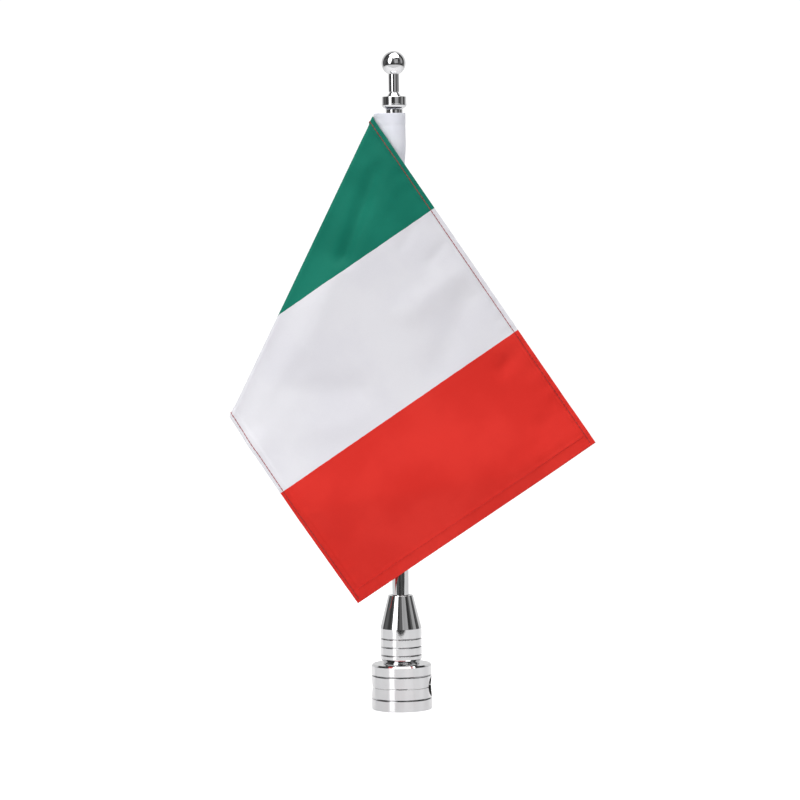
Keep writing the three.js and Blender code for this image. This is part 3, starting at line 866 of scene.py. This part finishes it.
def thread(name, radius, low, high, pitch, material, place=(0, 0), steps=28):
    """A V-thread whose crests lie at radius: a ridge spun upwards, turn after turn."""
    inner = radius - THREAD_DEPTH * pitch - THREAD_SINK
    turns = (high - low) / pitch - 1
    ridge = [(inner, 0.08), (radius, 0.46), (radius, 0.54), (inner, 0.92)]
    corners = [(r, 0, low + share * pitch) for r, share in ridge]
    around = int(steps * turns)
    climb = Vector((0, 0, pitch * MM * turns / around))
    bm = swept(corners, (0, 0, 1), math.tau * turns, around, climb)
    return closed(name, bm, material, (*place, 0))


def hex_socket(corners, low, high, place=(0, 0)):
    """A six-sided cutter for a hex key's socket, corners mm across its points."""
    bm = bmesh.new()
    bmesh.ops.create_cone(
        bm,
        cap_ends=True,
        segments=6,
        radius1=corners / 2 * MM,
        radius2=corners / 2 * MM,
        depth=(high - low) * MM,
    )
    bmesh.ops.translate(bm, verts=bm.verts, vec=Vector((*place, (low + high) / 2)) * MM)
    return finish_mesh("cutter", bm, black_steel, 30)


def socket_screw(name, nodes, body, place, head_radius, head_height, radius, pitch, socket, socket_depth):
    """A socket-head screw that points up, in the place of its frame node."""
    low, high = low_z(nodes[0]), high_z(nodes[0])
    seat = low + head_height
    core = radius - THREAD_DEPTH * pitch
    outline = [
        (0, low, 0),
        (head_radius - 0.05, low, 0.35),
        (head_radius, low + 0.5, 0.1),
        (head_radius, seat, 0.12),
        (radius, seat, 0.1),
        (radius, seat + 1.2, 0.05),
        (core, seat + 1.5, 0.05),
        (core, high - 0.4, 0.05),
        (core - 0.5, high, 0.05),
        (0, high, 0),
    ]
    screw = turned(name, outline, black_steel, 72, place)
    mouth = rod(socket / 2 - 0.1, low - 1, low + 0.15, place, 48)
    cut_away(screw, [hex_socket(socket, low - 0.6, low + socket_depth, place), mouth])
    belongs(screw, body, "screw_steel", *nodes)
    wound = thread(name + "_thread", radius, seat + 1.2, high - 0.3, pitch, black_steel, place)
    belongs(wound, body, "screw_steel")
    return screw


# %% Clamp screws, neck screw and stud
for side, y in (("front", -SCREW_Y), ("rear", SCREW_Y)):
    socket_screw(
        "clamp_screw_" + side + "_steel",
        ["clamp_screw_" + side],
        side + "_screw",
        (0, y),
        head_radius=3.5,
        head_height=3.6,
        radius=2,
        pitch=0.7,
        socket=3.4,
        socket_depth=2.0,
    )
socket_screw(
    "neck_screw_steel",
    ["neck_screw"],
    "mount",
    (0, 0),
    head_radius=4.2,
    head_height=2.2,
    radius=2.5,
    pitch=0.8,
    socket=3.4,
    socket_depth=1.3,
)
STUD_RADIUS = 2.5
STUD_PITCH = 0.8
stud_low, stud_high = low_z("finial_stud"), high_z("finial_stud")
stud_core = STUD_RADIUS - THREAD_DEPTH * STUD_PITCH
stud = turned(
    "stud_steel_core",
    [
        (0, stud_low, 0),
        (stud_core - 0.5, stud_low, 0.05),
        (stud_core, stud_low + 0.5, 0.05),
        (stud_core, stud_high - 0.5, 0.05),
        (stud_core - 0.5, stud_high, 0.05),
        (0, stud_high, 0),
    ],
    stud_steel,
    72,
)
belongs(stud, "stud", "stud_steel", "finial_stud")
thread_low, thread_high = stud_low + 0.2, stud_high - 0.2
stud_thread = thread(
    "stud_steel_thread", STUD_RADIUS, thread_low, thread_high, STUD_PITCH, stud_steel
)
belongs(stud_thread, "stud", "stud_steel")

# %% [markdown]
# Under each screw head lies a split lock washer: a ring of spring steel with one slanted cut, whose
# two ends stand slightly apart in height. A nearly full spin of a small rectangle, with a climb of a
# fifth of the ring's height, gives the ring, its cut and its twist in one go.

# %% Split washers
WASHER_CUT = math.radians(12)
WASHER_STEPS = 48


def split_washer(name, frame_node, inner, body, place):
    low, high = low_z(frame_node), high_z(frame_node)
    outer = radius_of(frame_node)
    rise = (high - low) * 0.2
    corners = [(inner, 0, low), (outer, 0, low), (outer, 0, high - rise), (inner, 0, high - rise)]
    climb = Vector((0, 0, rise * MM / WASHER_STEPS))
    bm = swept(corners, (0, 0, 1), math.tau - WASHER_CUT, WASHER_STEPS, climb)
    ring = closed(name, bm, black_steel, (*place, 0))
    belongs(ring, body, "screw_steel", frame_node)


split_washer("washer_front_steel", "clamp_washer_front", SCREW_HOLE, "clamp_cap", (0, -SCREW_Y))
split_washer("washer_rear_steel", "clamp_washer_rear", SCREW_HOLE, "clamp_cap", (0, SCREW_Y))
split_washer("washer_neck_steel", "neck_screw_washer", NECK_SCREW_HOLE, "mount", (0, 0))

# %% [markdown]
# Rubber lines the bore so that the clamp grips a rail without marking it, and a rubber ring on the pole
# keeps the sleeve from sliding down. The liner is an extruded half tube with rounded rims and shallow
# grip ribs along it. Moulded rubber is dark but never black: it has a fine grain and a dusty bloom.

# %% Rubber
RUBBER = (0.012, 0.012, 0.013, 1)
RUBBER_BLOOM = (0.035, 0.034, 0.033, 1)
rubber, tree, shader = new_material("moulded_rubber")
place = node(tree, "TexCoord").outputs["Object"]
bloom = place_group(tree, smudges, Place=place, Size=4.0, Cover=0.55).outputs["Mask"]
tree.links.new(mix_colour(tree, bloom, RUBBER, RUBBER_BLOOM), shader.inputs["Base Color"])
tree.links.new(plus_share(tree, 0.55, bloom, 0.25), shader.inputs["Roughness"])
shader.inputs["Specular IOR Level"].default_value = 0.35
grain = noise_at(tree, place, noise_dimensions="3D", Scale=5000.0, Detail=3.0)
tree.links.new(bump(tree, grain, 0.03), shader.inputs["Normal"])

# %% Bore liners
LINER_OUTER = 5.4
LINER_INNER = 4.75
LINER_HALF = 16
LINER_INSET = 0.25
RIB_HEIGHT = 0.15
RIBS = 9
LINER_STEPS = 108
LINER_RIM = 0.2


def liner(name, frame_node, body, side):
    """Half a tube along X: a short wall outline extruded in rings, with ribs raised on its inside."""
    start = math.asin(SPLIT_GAP / 2 / LINER_INNER) * 1.4
    half, rim = LINER_HALF, LINER_RIM
    outline = [
        (-half, LINER_INNER + rim),
        (-half + rim, LINER_INNER),
        (half - rim, LINER_INNER),
        (half, LINER_INNER + rim),
        (half, LINER_OUTER - rim),
        (half - rim, LINER_OUTER),
        (-half + rim, LINER_OUTER),
        (-half, LINER_OUTER - rim),
    ]
    across, up = math.cos(start), side * math.sin(start)
    corners = [(x, across * r, up * r) for x, r in outline]
    bm = swept(corners, (1, 0, 0), side * (math.pi - 2 * start), LINER_STEPS, (0, 0, 0))
    for vert in bm.verts:
        radial = Vector((0, vert.co.y, vert.co.z))
        if radial.length < (LINER_INNER + 0.01) * MM:
            turn = math.atan2(abs(radial.z), radial.y)
            raised = 0.5 + 0.5 * math.cos(turn * 2 * RIBS)
            vert.co += radial.normalized() * RIB_HEIGHT * MM * (1 - raised**3)
    for vert in bm.verts:
        flush = math.sqrt((BASE_RADIUS - LINER_INSET) ** 2 - (vert.co.y / MM) ** 2)
        vert.co.x *= flush / LINER_HALF
    made = closed(name, bm, rubber, (0, 0, SPLIT_Z), sides=10, sharp=40)
    belongs(made, body, "liner_rubber", frame_node)


liner("liner_upper_rubber", "clamp_liner_upper", "mount", 1)
liner("liner_lower_rubber", "clamp_liner_lower", "clamp_cap", -1)

# %% Stop ring
RING_TUBE = 1.0
ring_z = (low_z("flag_stop_ring") + high_z("flag_stop_ring")) / 2
ring_radius = radius_of("flag_stop_ring") - RING_TUBE
bm = bmesh.new()
bmesh.ops.create_circle(bm, segments=28, radius=RING_TUBE * MM)
bmesh.ops.rotate(bm, verts=bm.verts, matrix=Matrix.Rotation(math.pi / 2, 3, "X"))
bmesh.ops.translate(bm, verts=bm.verts, vec=Vector((ring_radius, 0, ring_z)) * MM)
tube = bm.verts[:] + bm.edges[:]
bmesh.ops.spin(bm, geom=tube, cent=(0, 0, 0), axis=(0, 0, 1), angle=math.tau, steps=96, use_merge=True)
bmesh.ops.recalc_face_normals(bm, faces=bm.faces)
stop_ring = finish_mesh("stop_ring_rubber", bm, rubber, 60)
belongs(stop_ring, "mount", "ring_rubber", "flag_stop_ring")

# %% [markdown]
# The flag is a light satin-weave polyester, 210 by 153 mm, sewn by its short side to a sleeve on the
# pole. It hangs folded over on itself: the hoist edge stays along the pole, a slanted fold runs down
# from its upper corner, and the rest falls in front. A cloth simulation would drop it into some other
# fold each time, so the fold is a small piece of geometry instead. A flat cloth is wrapped round a
# slanted line with a radius of 1.5 mm, which keeps every length in the cloth true. The slow waves and
# creases are then pushed into it.

# %% The fold
FLAG_HOIST = 153
FLAG_FLY = 210
FLAG_YAW = math.radians(7.5)
FOLD_LEAN = math.radians(26.3)
FOLD_FROM_HOIST = math.radians(30)
FOLD_RADIUS = 1.5
FOLD_FORWARD = 3
SLEEVE_RADIUS = POLE_RADIUS + 1.3
FRONT_CLEARANCE = 0.7
FRONT_BULGE = SLEEVE_RADIUS + FRONT_CLEARANCE - FOLD_RADIUS
BULGE_REACH = 20
BACK_SLOPE = 0.17
CORNER = np.array([-(SLEEVE_RADIUS + 5.5), -2, SLEEVE_TOP - 1.8])
QUARTER_TURN = math.pi / 2 * FOLD_RADIUS
FOLD_LENGTH = FLAG_HOIST / math.cos(FOLD_FROM_HOIST)
along_fold = np.array([-math.sin(FOLD_LEAN), 0, -math.cos(FOLD_LEAN)])
away_from_fold = np.array([math.cos(FOLD_LEAN), 0, -math.sin(FOLD_LEAN)])


def smooth(value):
    """0 below 0, 1 above 1 and smooth between them."""
    value = np.clip(value, 0, 1)
    return value * value * (3 - 2 * value)


def folded(u, v):
    """The middle of the folded cloth at u along the fly and v down the hoist, before any wave."""
    s = u * math.sin(FOLD_FROM_HOIST) + v * math.cos(FOLD_FROM_HOIST)
    t = u * math.cos(FOLD_FROM_HOIST) - v * math.sin(FOLD_FROM_HOIST)
    straight = np.abs(t) - QUARTER_TURN
    turn = np.clip(t / FOLD_RADIUS, -math.pi / 2, math.pi / 2)
    out = FOLD_RADIUS * (1 - np.cos(turn)) + np.maximum(straight, 0)
    depth = -FOLD_RADIUS * np.sin(turn)
    back = BACK_SLOPE * np.maximum(straight, 0)
    front = -FRONT_BULGE * smooth(straight / BULGE_REACH)
    depth = depth + np.where(t < 0, back, front) - FOLD_FORWARD * s / FOLD_LENGTH
    place = CORNER + s[..., None] * along_fold + out[..., None] * away_from_fold
    place[..., 1] += depth
    return place, t


# %% [markdown]
# A crease is a soft ridge along a line between two places on the hanging cloth, given by how far right
# of the pole and how high each end is. Its height is forward of the cloth, so a hollow is negative.
# Each one fades at both ends. The puckers are different: a sewing machine draws the cloth in a little
# along its seams, and that leaves small waves across the hem which die out within a few millimetres.

# %% Creases and puckers
def crease(x, z, start, end, width, height):
    """The height of one soft ridge at places x, z."""
    ax, az = start
    dx, dz = end[0] - ax, end[1] - az
    length = math.hypot(dx, dz)
    along = ((x - ax) * dx + (z - az) * dz) / length
    across = ((x - ax) * dz - (z - az) * dx) / length
    fade = smooth((along + width) / (2 * width)) * smooth((length + width - along) / (2 * width))
    return height * fade * np.exp(-((across / width) ** 2))


CREASES = [
    dict(start=(-12, 292), end=(-30, 240), width=5.5, height=-3.0),
    dict(start=(-24, 262), end=(-46, 214), width=7, height=0.5),
    dict(start=(2, 284), end=(-10, 262), width=4, height=0.35),
    dict(start=(12, 262), end=(2, 246), width=3.2, height=-0.35),
    dict(start=(36, 236), end=(2, 210), width=7, height=0.8),
    dict(start=(40, 226), end=(19, 178), width=8, height=-0.9),
    dict(start=(27, 250), end=(16, 238), width=3.2, height=-0.4),
    dict(start=(-50, 190), end=(-76, 150), width=6, height=-0.7),
    dict(start=(-60, 174), end=(-16, 172), width=7, height=-0.6),
    dict(start=(-54, 150), end=(-18, 156), width=8, height=0.6),
    dict(start=(61, 190), end=(54, 180), width=4.5, height=-1.2),
    dict(start=(96, 150), end=(62, 128), width=5, height=0.5),
    dict(start=(88, 166), end=(74, 150), width=5, height=-0.5),
    dict(start=(-46, 104), end=(-26, 80), width=5, height=-0.4),
]
CREASE_STRENGTH = 1.4
BELLY_START = (-45, 110)
BELLY_RUN = (115, 20)
BELLY_FORWARD = 7.0
BELLY_REACH = 32
BELLY_SLOPE = 0.27
BELLY_ROUND = 8


def front_waves(x, z):
    """Everything that is pushed into the front layer, as a height towards the viewer."""
    lift = sum(crease(x, z, **fold) for fold in CREASES)
    along_x, along_z = BELLY_RUN
    below = (x - BELLY_START[0]) * along_z - (z - BELLY_START[1]) * along_x
    below = below / math.hypot(along_x, along_z)
    ridge = BELLY_FORWARD * np.exp(-((np.minimum(below, 0) / BELLY_REACH) ** 2))
    past = np.maximum(below, 0)
    tuck = BELLY_SLOPE * past**2 / (past + BELLY_ROUND)
    return CREASE_STRENGTH * lift + ridge - tuck


HEM = 5.0
TOP_STITCH = 2.4
FOOT_STITCH = 1.8
FLY_STITCH = 6.5
PUCKER_REACH = 5.0
PUCKER_HEIGHT = 0.26


def pucker(along, from_hem, seed):
    """Small waves across a hem, uneven in spacing and strength, that fade away from its stitches."""
    phase = along / 1.5 + 1.7 * np.sin(along / 17.0 + seed) + 0.9 * np.sin(along / 7.3 + 2 * seed)
    strength = 0.6 + 0.4 * np.sin(along / 23.0 + 3 * seed)
    return PUCKER_HEIGHT * strength * np.sin(phase) * np.exp(-np.abs(from_hem) / PUCKER_REACH)


def hem_puckers(u, v):
    lift = pucker(u, v - TOP_STITCH, 0.4)
    lift = lift + pucker(u, FLAG_HOIST - FOOT_STITCH - v, 1.9)
    return lift + pucker(v, FLAG_FLY - FLY_STITCH - u, 3.1)


def cloth(u, v):
    """Places of the finished cloth's middle and the outward direction of its printed side."""
    place, t = folded(u, v)
    step = 0.05
    along_u = folded(u + step, v)[0] - place
    along_v = folded(u, v + step)[0] - place
    normal = np.cross(along_v, along_u)
    normal /= np.linalg.norm(normal, axis=-1, keepdims=True)
    on_front = smooth((t - 4) / 16)
    lift = front_waves(place[..., 0], place[..., 2]) * on_front
    lift = lift + 0.5 * np.sin(v / 19.0 + 1.0) * smooth((-t - 6) / 12) * smooth((u - 6) / 20)
    lift = lift + hem_puckers(u, v) * smooth(u / 8)
    return place + normal * lift[..., None], normal


def hung(points):
    """From the flag's own frame in mm to the stand's frame in metres: a turn round the pole."""
    c, s = math.cos(FLAG_YAW), math.sin(FLAG_YAW)
    turn = np.array([[c, -s, 0], [s, c, 0], [0, 0, 1]])
    return points @ turn.T * MM


# %% [markdown]
# The cloth starts as a plain grid. Its rows are closer together at the hems, where the puckers and the
# folded edge need them. Each vertex then moves to its place on the folded cloth and keeps its flat
# place as its UV, in metres, so the printed stripes and the weave follow the cloth and never stretch.
# Solidify gives the thickness, which a vertex group makes three times as much at the hems.

# %% Flag cloth
def stops(length, first_hem, last_hem, coarse, fine):
    """Grid stops from 0 to length, fine within the hems and coarse between them."""
    start = np.linspace(0, first_hem, max(2, round(first_hem / fine)), endpoint=False)
    middle_count = round((length - first_hem - last_hem) / coarse)
    middle = np.linspace(first_hem, length - last_hem, middle_count, endpoint=False)
    end = np.linspace(length - last_hem, length, max(2, round(last_hem / fine)) + 1)
    return np.concatenate([start, middle, end])


def draped_grid(name, u_stops, v_stops, placed, thickness, heavy, material):
    """A grid whose vertices go where placed(u, v) says, with flat UVs and a thickness group."""
    bm = bmesh.new()
    bmesh.ops.create_grid(bm, x_segments=len(u_stops) - 1, y_segments=len(v_stops) - 1, size=0.5)
    flat = np.array([(vert.co.x + 0.5, vert.co.y + 0.5) for vert in bm.verts])
    column = np.rint(flat[:, 0] * (len(u_stops) - 1)).astype(int)
    row = np.rint(flat[:, 1] * (len(v_stops) - 1)).astype(int)
    u, v = u_stops[column], v_stops[row]
    middle, _ = placed(u, v)
    weight = bm.verts.layers.deform.verify()
    for vert, co, share in zip(bm.verts, hung(middle), heavy(u, v)):
        vert.co = co
        vert[weight][0] = float(share)
    bm.verts.index_update()
    uv = bm.loops.layers.uv.new("flat")
    for face in bm.faces:
        for loop in face.loops:
            i = loop.vert.index
            loop[uv].uv = (u[i] * MM, v[i] * MM)
    bmesh.ops.remove_doubles(bm, verts=bm.verts, dist=1e-6)
    bmesh.ops.recalc_face_normals(bm, faces=bm.faces)
    made = finish_mesh(name, bm, material, 180)
    made.vertex_groups.new(name="thickness")
    solid = made.modifiers.new("thickness", "SOLIDIFY")
    solid.thickness = thickness * MM
    solid.offset = 0
    solid.vertex_group = "thickness"
    return made


HEM_THICKNESS = 0.8
BODY_SHARE = 0.35


def flag_thickness(u, v):
    """1 within the hems, the body's share beyond them, with a soft step between."""
    top = 1 - smooth((v - TOP_STITCH - 0.9) / 0.6)
    foot = 1 - smooth((FLAG_HOIST - v - FOOT_STITCH - 2.4) / 0.6)
    fly = 1 - smooth((FLAG_FLY - u - FLY_STITCH - 0.9) / 0.6)
    hem = np.maximum(np.maximum(top, foot), fly)
    return np.round(BODY_SHARE + (1 - BODY_SHARE) * hem, 2)

# %% [markdown]
# The flag is one woven cloth printed in three bands. Polyester satin has a soft sheen, a fine visible
# weave close up, and a tone that drifts slightly from place to place, because no dye takes evenly. The
# two band edges waver by a few hundredths of a millimetre, as a print on cloth does.

# %% Printed cloth
GREEN_TO = 59.2
WHITE_TO = 137.6
GREEN = (0.002, 0.155, 0.103, 1)
GREEN_LIGHT = (0.005, 0.182, 0.122, 1)
WHITE = (0.715, 0.708, 0.755, 1)
WHITE_LIGHT = (0.75, 0.745, 0.785, 1)
RED = (0.65, 0.022, 0.0145, 1)
RED_LIGHT = (0.70, 0.028, 0.019, 1)


def flat_place(tree):
    uv = node(tree, "UVMap")
    uv.uv_map = "flat"
    return uv.outputs["UV"]


def uneven_dye(tree, flat, scale):
    """Where the dye took more and less, from 0 to 1."""
    tone = noise_at(tree, flat, noise_dimensions="2D", Scale=scale, Detail=4.0)
    return ramp_between(tree, tone, 0.35, 0.68)


def cloth_finish(tree, shader, flat, colour, thread, sheen):
    """Weave in height and roughness, painted light on the thread crests made uneven by the yarn's slubs,
    and sheen, on any cloth that has flat UVs.
    """
    woven = place_group(tree, weave, Cloth=flat, Thread=thread)
    # Painted light: the cloth colour is lifted on the crests of the weave.
    painted_crest_light = math_node(tree, "MULTIPLY", woven.outputs["Shade"], 0.16)
    shaded = mix_colour(tree, painted_crest_light, colour, (1, 1, 1, 1), "SOFT_LIGHT")
    tree.links.new(shaded, shader.inputs["Base Color"])
    soft = place_group(tree, smudges, Place=flat, Size=38.0, Cover=0.5).outputs["Mask"]
    tree.links.new(plus_share(tree, 0.60, soft, 0.12), shader.inputs["Roughness"])
    wrinkles = noise_at(tree, flat, noise_dimensions="2D", Scale=42.0, Detail=4.0, Roughness=0.55)
    normal = bump(tree, wrinkles, 0.9, 0.35)
    normal = bump(tree, woven.outputs["Height"], 0.05, 0.6, normal)
    tree.links.new(normal, shader.inputs["Normal"])
    shader.inputs["Sheen Weight"].default_value = sheen
    shader.inputs["Sheen Roughness"].default_value = 0.45
    shader.inputs["Specular IOR Level"].default_value = 0.14


flag_cloth, tree, shader = new_material("printed_satin")
flat = flat_place(tree)
apart = node(tree, "SeparateXYZ")
tree.links.new(flat, apart.inputs[0])
waver = noise_at(tree, flat, noise_dimensions="2D", Scale=260.0, Detail=2.0)
drift = math_node(tree, "MULTIPLY", math_node(tree, "SUBTRACT", waver, 0.5), 0.3 * MM)
along_fly = math_node(tree, "ADD", apart.outputs["X"], drift)
mottle = uneven_dye(tree, flat, 24.0)


def past(edge):
    """The print's change from one band to the next, a tenth of a millimetre wide."""
    return ramp_between(tree, along_fly, (edge - 0.05) * MM, (edge + 0.05) * MM)


green = mix_colour(tree, mottle, GREEN, GREEN_LIGHT)
white = mix_colour(tree, mottle, WHITE, WHITE_LIGHT)
red = mix_colour(tree, mottle, RED, RED_LIGHT)
bands = mix_colour(tree, past(GREEN_TO), green, white)
bands = mix_colour(tree, past(WHITE_TO), bands, red)
cloth_finish(tree, shader, flat, bands, 0.26, 0.05)

flag_u = stops(FLAG_FLY, 3.0, FLY_STITCH + 2, 1.05, 0.6)
flag_v = stops(FLAG_HOIST, HEM, HEM, 1.05, 0.5)
flag = draped_grid("flag_satin", flag_u, flag_v, cloth, HEM_THICKNESS, flag_thickness, flag_cloth)
belongs(flag, "flag", "flag_cloth", "flag_cloth")

# %% [markdown]
# The sleeve is a strip of white cloth that goes round the pole and is sewn to itself and to the flag's
# hoist edge. Its section is a circle that runs out to a narrow rounded tip at the seam, so it is drawn
# with its two tangents. It is hemmed at both ends, and it is loose, so it has a few slack wrinkles.

# %% Sleeve
SEAM_TIP = 1.2
SEAM_GAP = 0.3
CLOTH_SPACE = 0.8
SLEEVE_HEM = 6.3
SLEEVE_THICKNESS = 0.5
SLEEVE_BODY_SHARE = 0.6
SLOW_SLACK = 0.34
QUICK_SLACK = 0.26
HEM_DRAWN_IN = 0.15


def hoist_edge(share):
    """Where the flag's hoist edge is in plan at a share of its height, before any wave."""
    return folded(np.zeros_like(share), share * FLAG_HOIST)[0][..., :2]


def sleeve_section(round_share, share):
    """The sleeve's outer line in plan: round_share runs from 0 to 1 round it, from the tip."""
    edge = hoist_edge(share)
    far = np.linalg.norm(edge, axis=-1)
    reach = far - CLOTH_SPACE / 2 - SEAM_GAP - SEAM_TIP
    aim = np.arctan2(edge[..., 1], edge[..., 0])
    tangent = np.arccos((SLEEVE_RADIUS - SEAM_TIP) / reach)
    tip_arc = SEAM_TIP * tangent
    flat_run = np.sqrt(reach**2 - (SLEEVE_RADIUS - SEAM_TIP) ** 2)
    wrap_arc = SLEEVE_RADIUS * (2 * math.pi - 2 * tangent)
    total = 2 * tip_arc + 2 * flat_run + wrap_arc
    way = round_share * total
    side = np.where(way > total / 2, -1.0, 1.0)
    way = np.minimum(way, total - way)
    on_tip = np.clip(way / SEAM_TIP, 0, tangent)
    on_flat = np.clip(way - tip_arc, 0, flat_run)
    on_wrap = np.clip((way - tip_arc - flat_run) / SLEEVE_RADIUS, 0, None)
    tip_x = reach + SEAM_TIP * np.cos(on_tip)
    tip_y = SEAM_TIP * np.sin(on_tip)
    flat_x = -np.sin(tangent) * on_flat
    flat_y = np.cos(tangent) * on_flat
    wrap_x = SLEEVE_RADIUS * (np.cos(tangent + on_wrap) - np.cos(tangent))
    wrap_y = SLEEVE_RADIUS * (np.sin(tangent + on_wrap) - np.sin(tangent))
    x = tip_x + flat_x + wrap_x
    y = side * (tip_y + flat_y + wrap_y)
    c, s = np.cos(aim), np.sin(aim)
    return np.stack([x * c - y * s, x * s + y * c], axis=-1), total


def sleeve_place(u, v):
    """u is the way round in mm of the sleeve's mean girth, and v is the way down."""
    share = v / FLAG_HOIST
    section, _ = sleeve_section(u / SLEEVE_GIRTH, share)
    outward = section - 0.25 * hoist_edge(share)
    outward /= np.linalg.norm(outward, axis=-1, keepdims=True)
    turn = u / SLEEVE_GIRTH * 2 * math.pi
    slack = SLOW_SLACK * np.sin(v / 8.5 + 1.5 * np.sin(turn) + 0.6) * np.sin(v / 31.0 + 0.4)
    quick = np.sin(v / 4.3 + 2.2 * np.cos(turn + 0.7)) * smooth((v - 8) / 20)
    slack = slack + QUICK_SLACK * quick
    for from_end in (v, FLAG_HOIST - v):
        slack = slack - HEM_DRAWN_IN * np.exp(-((from_end - SLEEVE_HEM) ** 2) / 0.8)
    held = smooth(np.minimum(u, SLEEVE_GIRTH - u) / 6)
    plan = section + outward * (slack * held - SLEEVE_THICKNESS / 2)[..., None]
    return np.concatenate([plan, (SLEEVE_TOP - v)[..., None]], axis=-1), None


SLEEVE_GIRTH = float(sleeve_section(np.array([0.0]), np.array([0.5]))[1][0])


def sleeve_thickness(u, v):
    hem = np.maximum(1 - smooth((v - 6.2) / 0.6), 1 - smooth((FLAG_HOIST - v - 6.2) / 0.6))
    return np.round(SLEEVE_BODY_SHARE + (1 - SLEEVE_BODY_SHARE) * hem, 2)


POPLIN = (0.80, 0.81, 0.885, 1)
POPLIN_LIGHT = (0.845, 0.855, 0.92, 1)
sleeve_cloth, tree, shader = new_material("sleeve_poplin")
flat = flat_place(tree)
poplin = mix_colour(tree, uneven_dye(tree, flat, 60.0), POPLIN, POPLIN_LIGHT)
cloth_finish(tree, shader, flat, poplin, 0.3, 0.06)

sleeve_u = np.linspace(0, SLEEVE_GIRTH, 97)
sleeve_v = stops(FLAG_HOIST, 8.0, 8.0, 1.0, 0.5)
sleeve = draped_grid(
    "sleeve_poplin_tube",
    sleeve_u,
    sleeve_v,
    sleeve_place,
    SLEEVE_THICKNESS,
    sleeve_thickness,
    sleeve_cloth,
)
belongs(sleeve, "flag", "sleeve_cloth", "flag_sleeve")
print("sleeve girth", round(SLEEVE_GIRTH, 1), "mm")

# %% [markdown]
# The seams are lockstitched in wine red thread, and the fly hem in scarlet to match its band. Each
# stitch is one short spindle of thread that rises out of the cloth, lies on it and goes back in, so a
# seam is one small shape repeated a few dozen times. A five-sided rod in four lengths is enough,
# because each stitch is less than half a millimetre thick.

# %% Thread
def thread_material(name, dark, light):
    """Twisted polyester thread: two shades that follow the plies, and a fine bump."""
    material, tree, shader = new_material(name)
    place = node(tree, "TexCoord").outputs["Object"]
    plies = noise_at(tree, place, noise_dimensions="3D", Scale=2600.0, Detail=3.0)
    tree.links.new(mix_colour(tree, plies, dark, light), shader.inputs["Base Color"])
    tree.links.new(bump(tree, plies, 0.05), shader.inputs["Normal"])
    shader.inputs["Roughness"].default_value = 0.6
    shader.inputs["Specular IOR Level"].default_value = 0.2
    shader.inputs["Sheen Weight"].default_value = 0.05
    return material


WINE = (0.24, 0.014, 0.016, 1)
WINE_LIGHT = (0.40, 0.035, 0.036, 1)
SCARLET = (0.55, 0.018, 0.014, 1)
SCARLET_LIGHT = (0.70, 0.03, 0.022, 1)
thread_wine = thread_material("wine_red_thread", WINE, WINE_LIGHT)
thread_scarlet = thread_material("scarlet_thread", SCARLET, SCARLET_LIGHT)

STITCH_PITCH = 2.3
STITCH_LENGTH = 2.15
THREAD_RADIUS = 0.2
STITCH_RINGS = 4

bm = bmesh.new()
bmesh.ops.create_cone(
    bm, cap_ends=True, segments=5, radius1=THREAD_RADIUS, radius2=THREAD_RADIUS, depth=1
)
long_edges = [edge for edge in bm.edges if abs(edge.verts[0].co.z - edge.verts[1].co.z) > 0.5]
bmesh.ops.subdivide_edges(bm, edges=long_edges, cuts=STITCH_RINGS - 1)
one_stitch = bpy.data.meshes.new("one_stitch")
bm.to_mesh(one_stitch)
bm.free()
print("one stitch:", len(one_stitch.polygons), "faces")


def sewn_line(bm, start, end, side):
    """Adds stitches from start to end, given as flat (u, v) places, on one side of the cloth."""
    start, end = np.array(start, float), np.array(end, float)
    length = np.linalg.norm(end - start)
    run = (end - start) / length
    shares = np.linspace(-0.5, 0.5, STITCH_RINGS + 1)
    arch = THREAD_RADIUS * (1.5 * np.sqrt(np.abs(np.cos(shares * math.pi))) - 0.6)
    for i in range(int(length / STITCH_PITCH)):
        middle = start + run * STITCH_PITCH * (i + 0.5)
        u, v = (middle + shares[:, None] * run * STITCH_LENGTH).T
        centre, normal = cloth(u, v)
        above = HEM_THICKNESS / 2 * flag_thickness(u, v) + arch
        ridge = [Vector(place) for place in hung(centre + side * normal * above[:, None])]
        turn = (ridge[-1] - ridge[0]).to_track_quat("Z", "Y")
        known = len(bm.verts)
        bm.from_mesh(one_stitch)
        bm.verts.ensure_lookup_table()
        for vert in bm.verts[known:]:
            ring = round((vert.co.z + 0.5) * STITCH_RINGS)
            vert.co = ridge[ring] + turn @ Vector((vert.co.x, vert.co.y, 0)) * MM


def seam(name, start, end, thread):
    bm = bmesh.new()
    for side in (1, -1):
        sewn_line(bm, start, end, side)
    bmesh.ops.recalc_face_normals(bm, faces=bm.faces)
    made = finish_mesh(name, bm, thread, 80)
    belongs(made, "flag", "flag_cloth")
    return made


foot_line = FLAG_HOIST - FOOT_STITCH
fly_line = FLAG_FLY - FLY_STITCH
seams = [
    seam("seam_top_thread", (1.5, TOP_STITCH), (FLAG_FLY - 1, TOP_STITCH), thread_wine),
    seam("seam_foot_thread", (1.5, foot_line), (FLAG_FLY - 1, foot_line), thread_wine),
    seam("seam_fly_thread", (fly_line, TOP_STITCH + 1), (fly_line, foot_line - 1), thread_scarlet),
    seam("seam_hoist_thread", (1.6, 2), (1.6, FLAG_HOIST - 2), thread_wine),
]
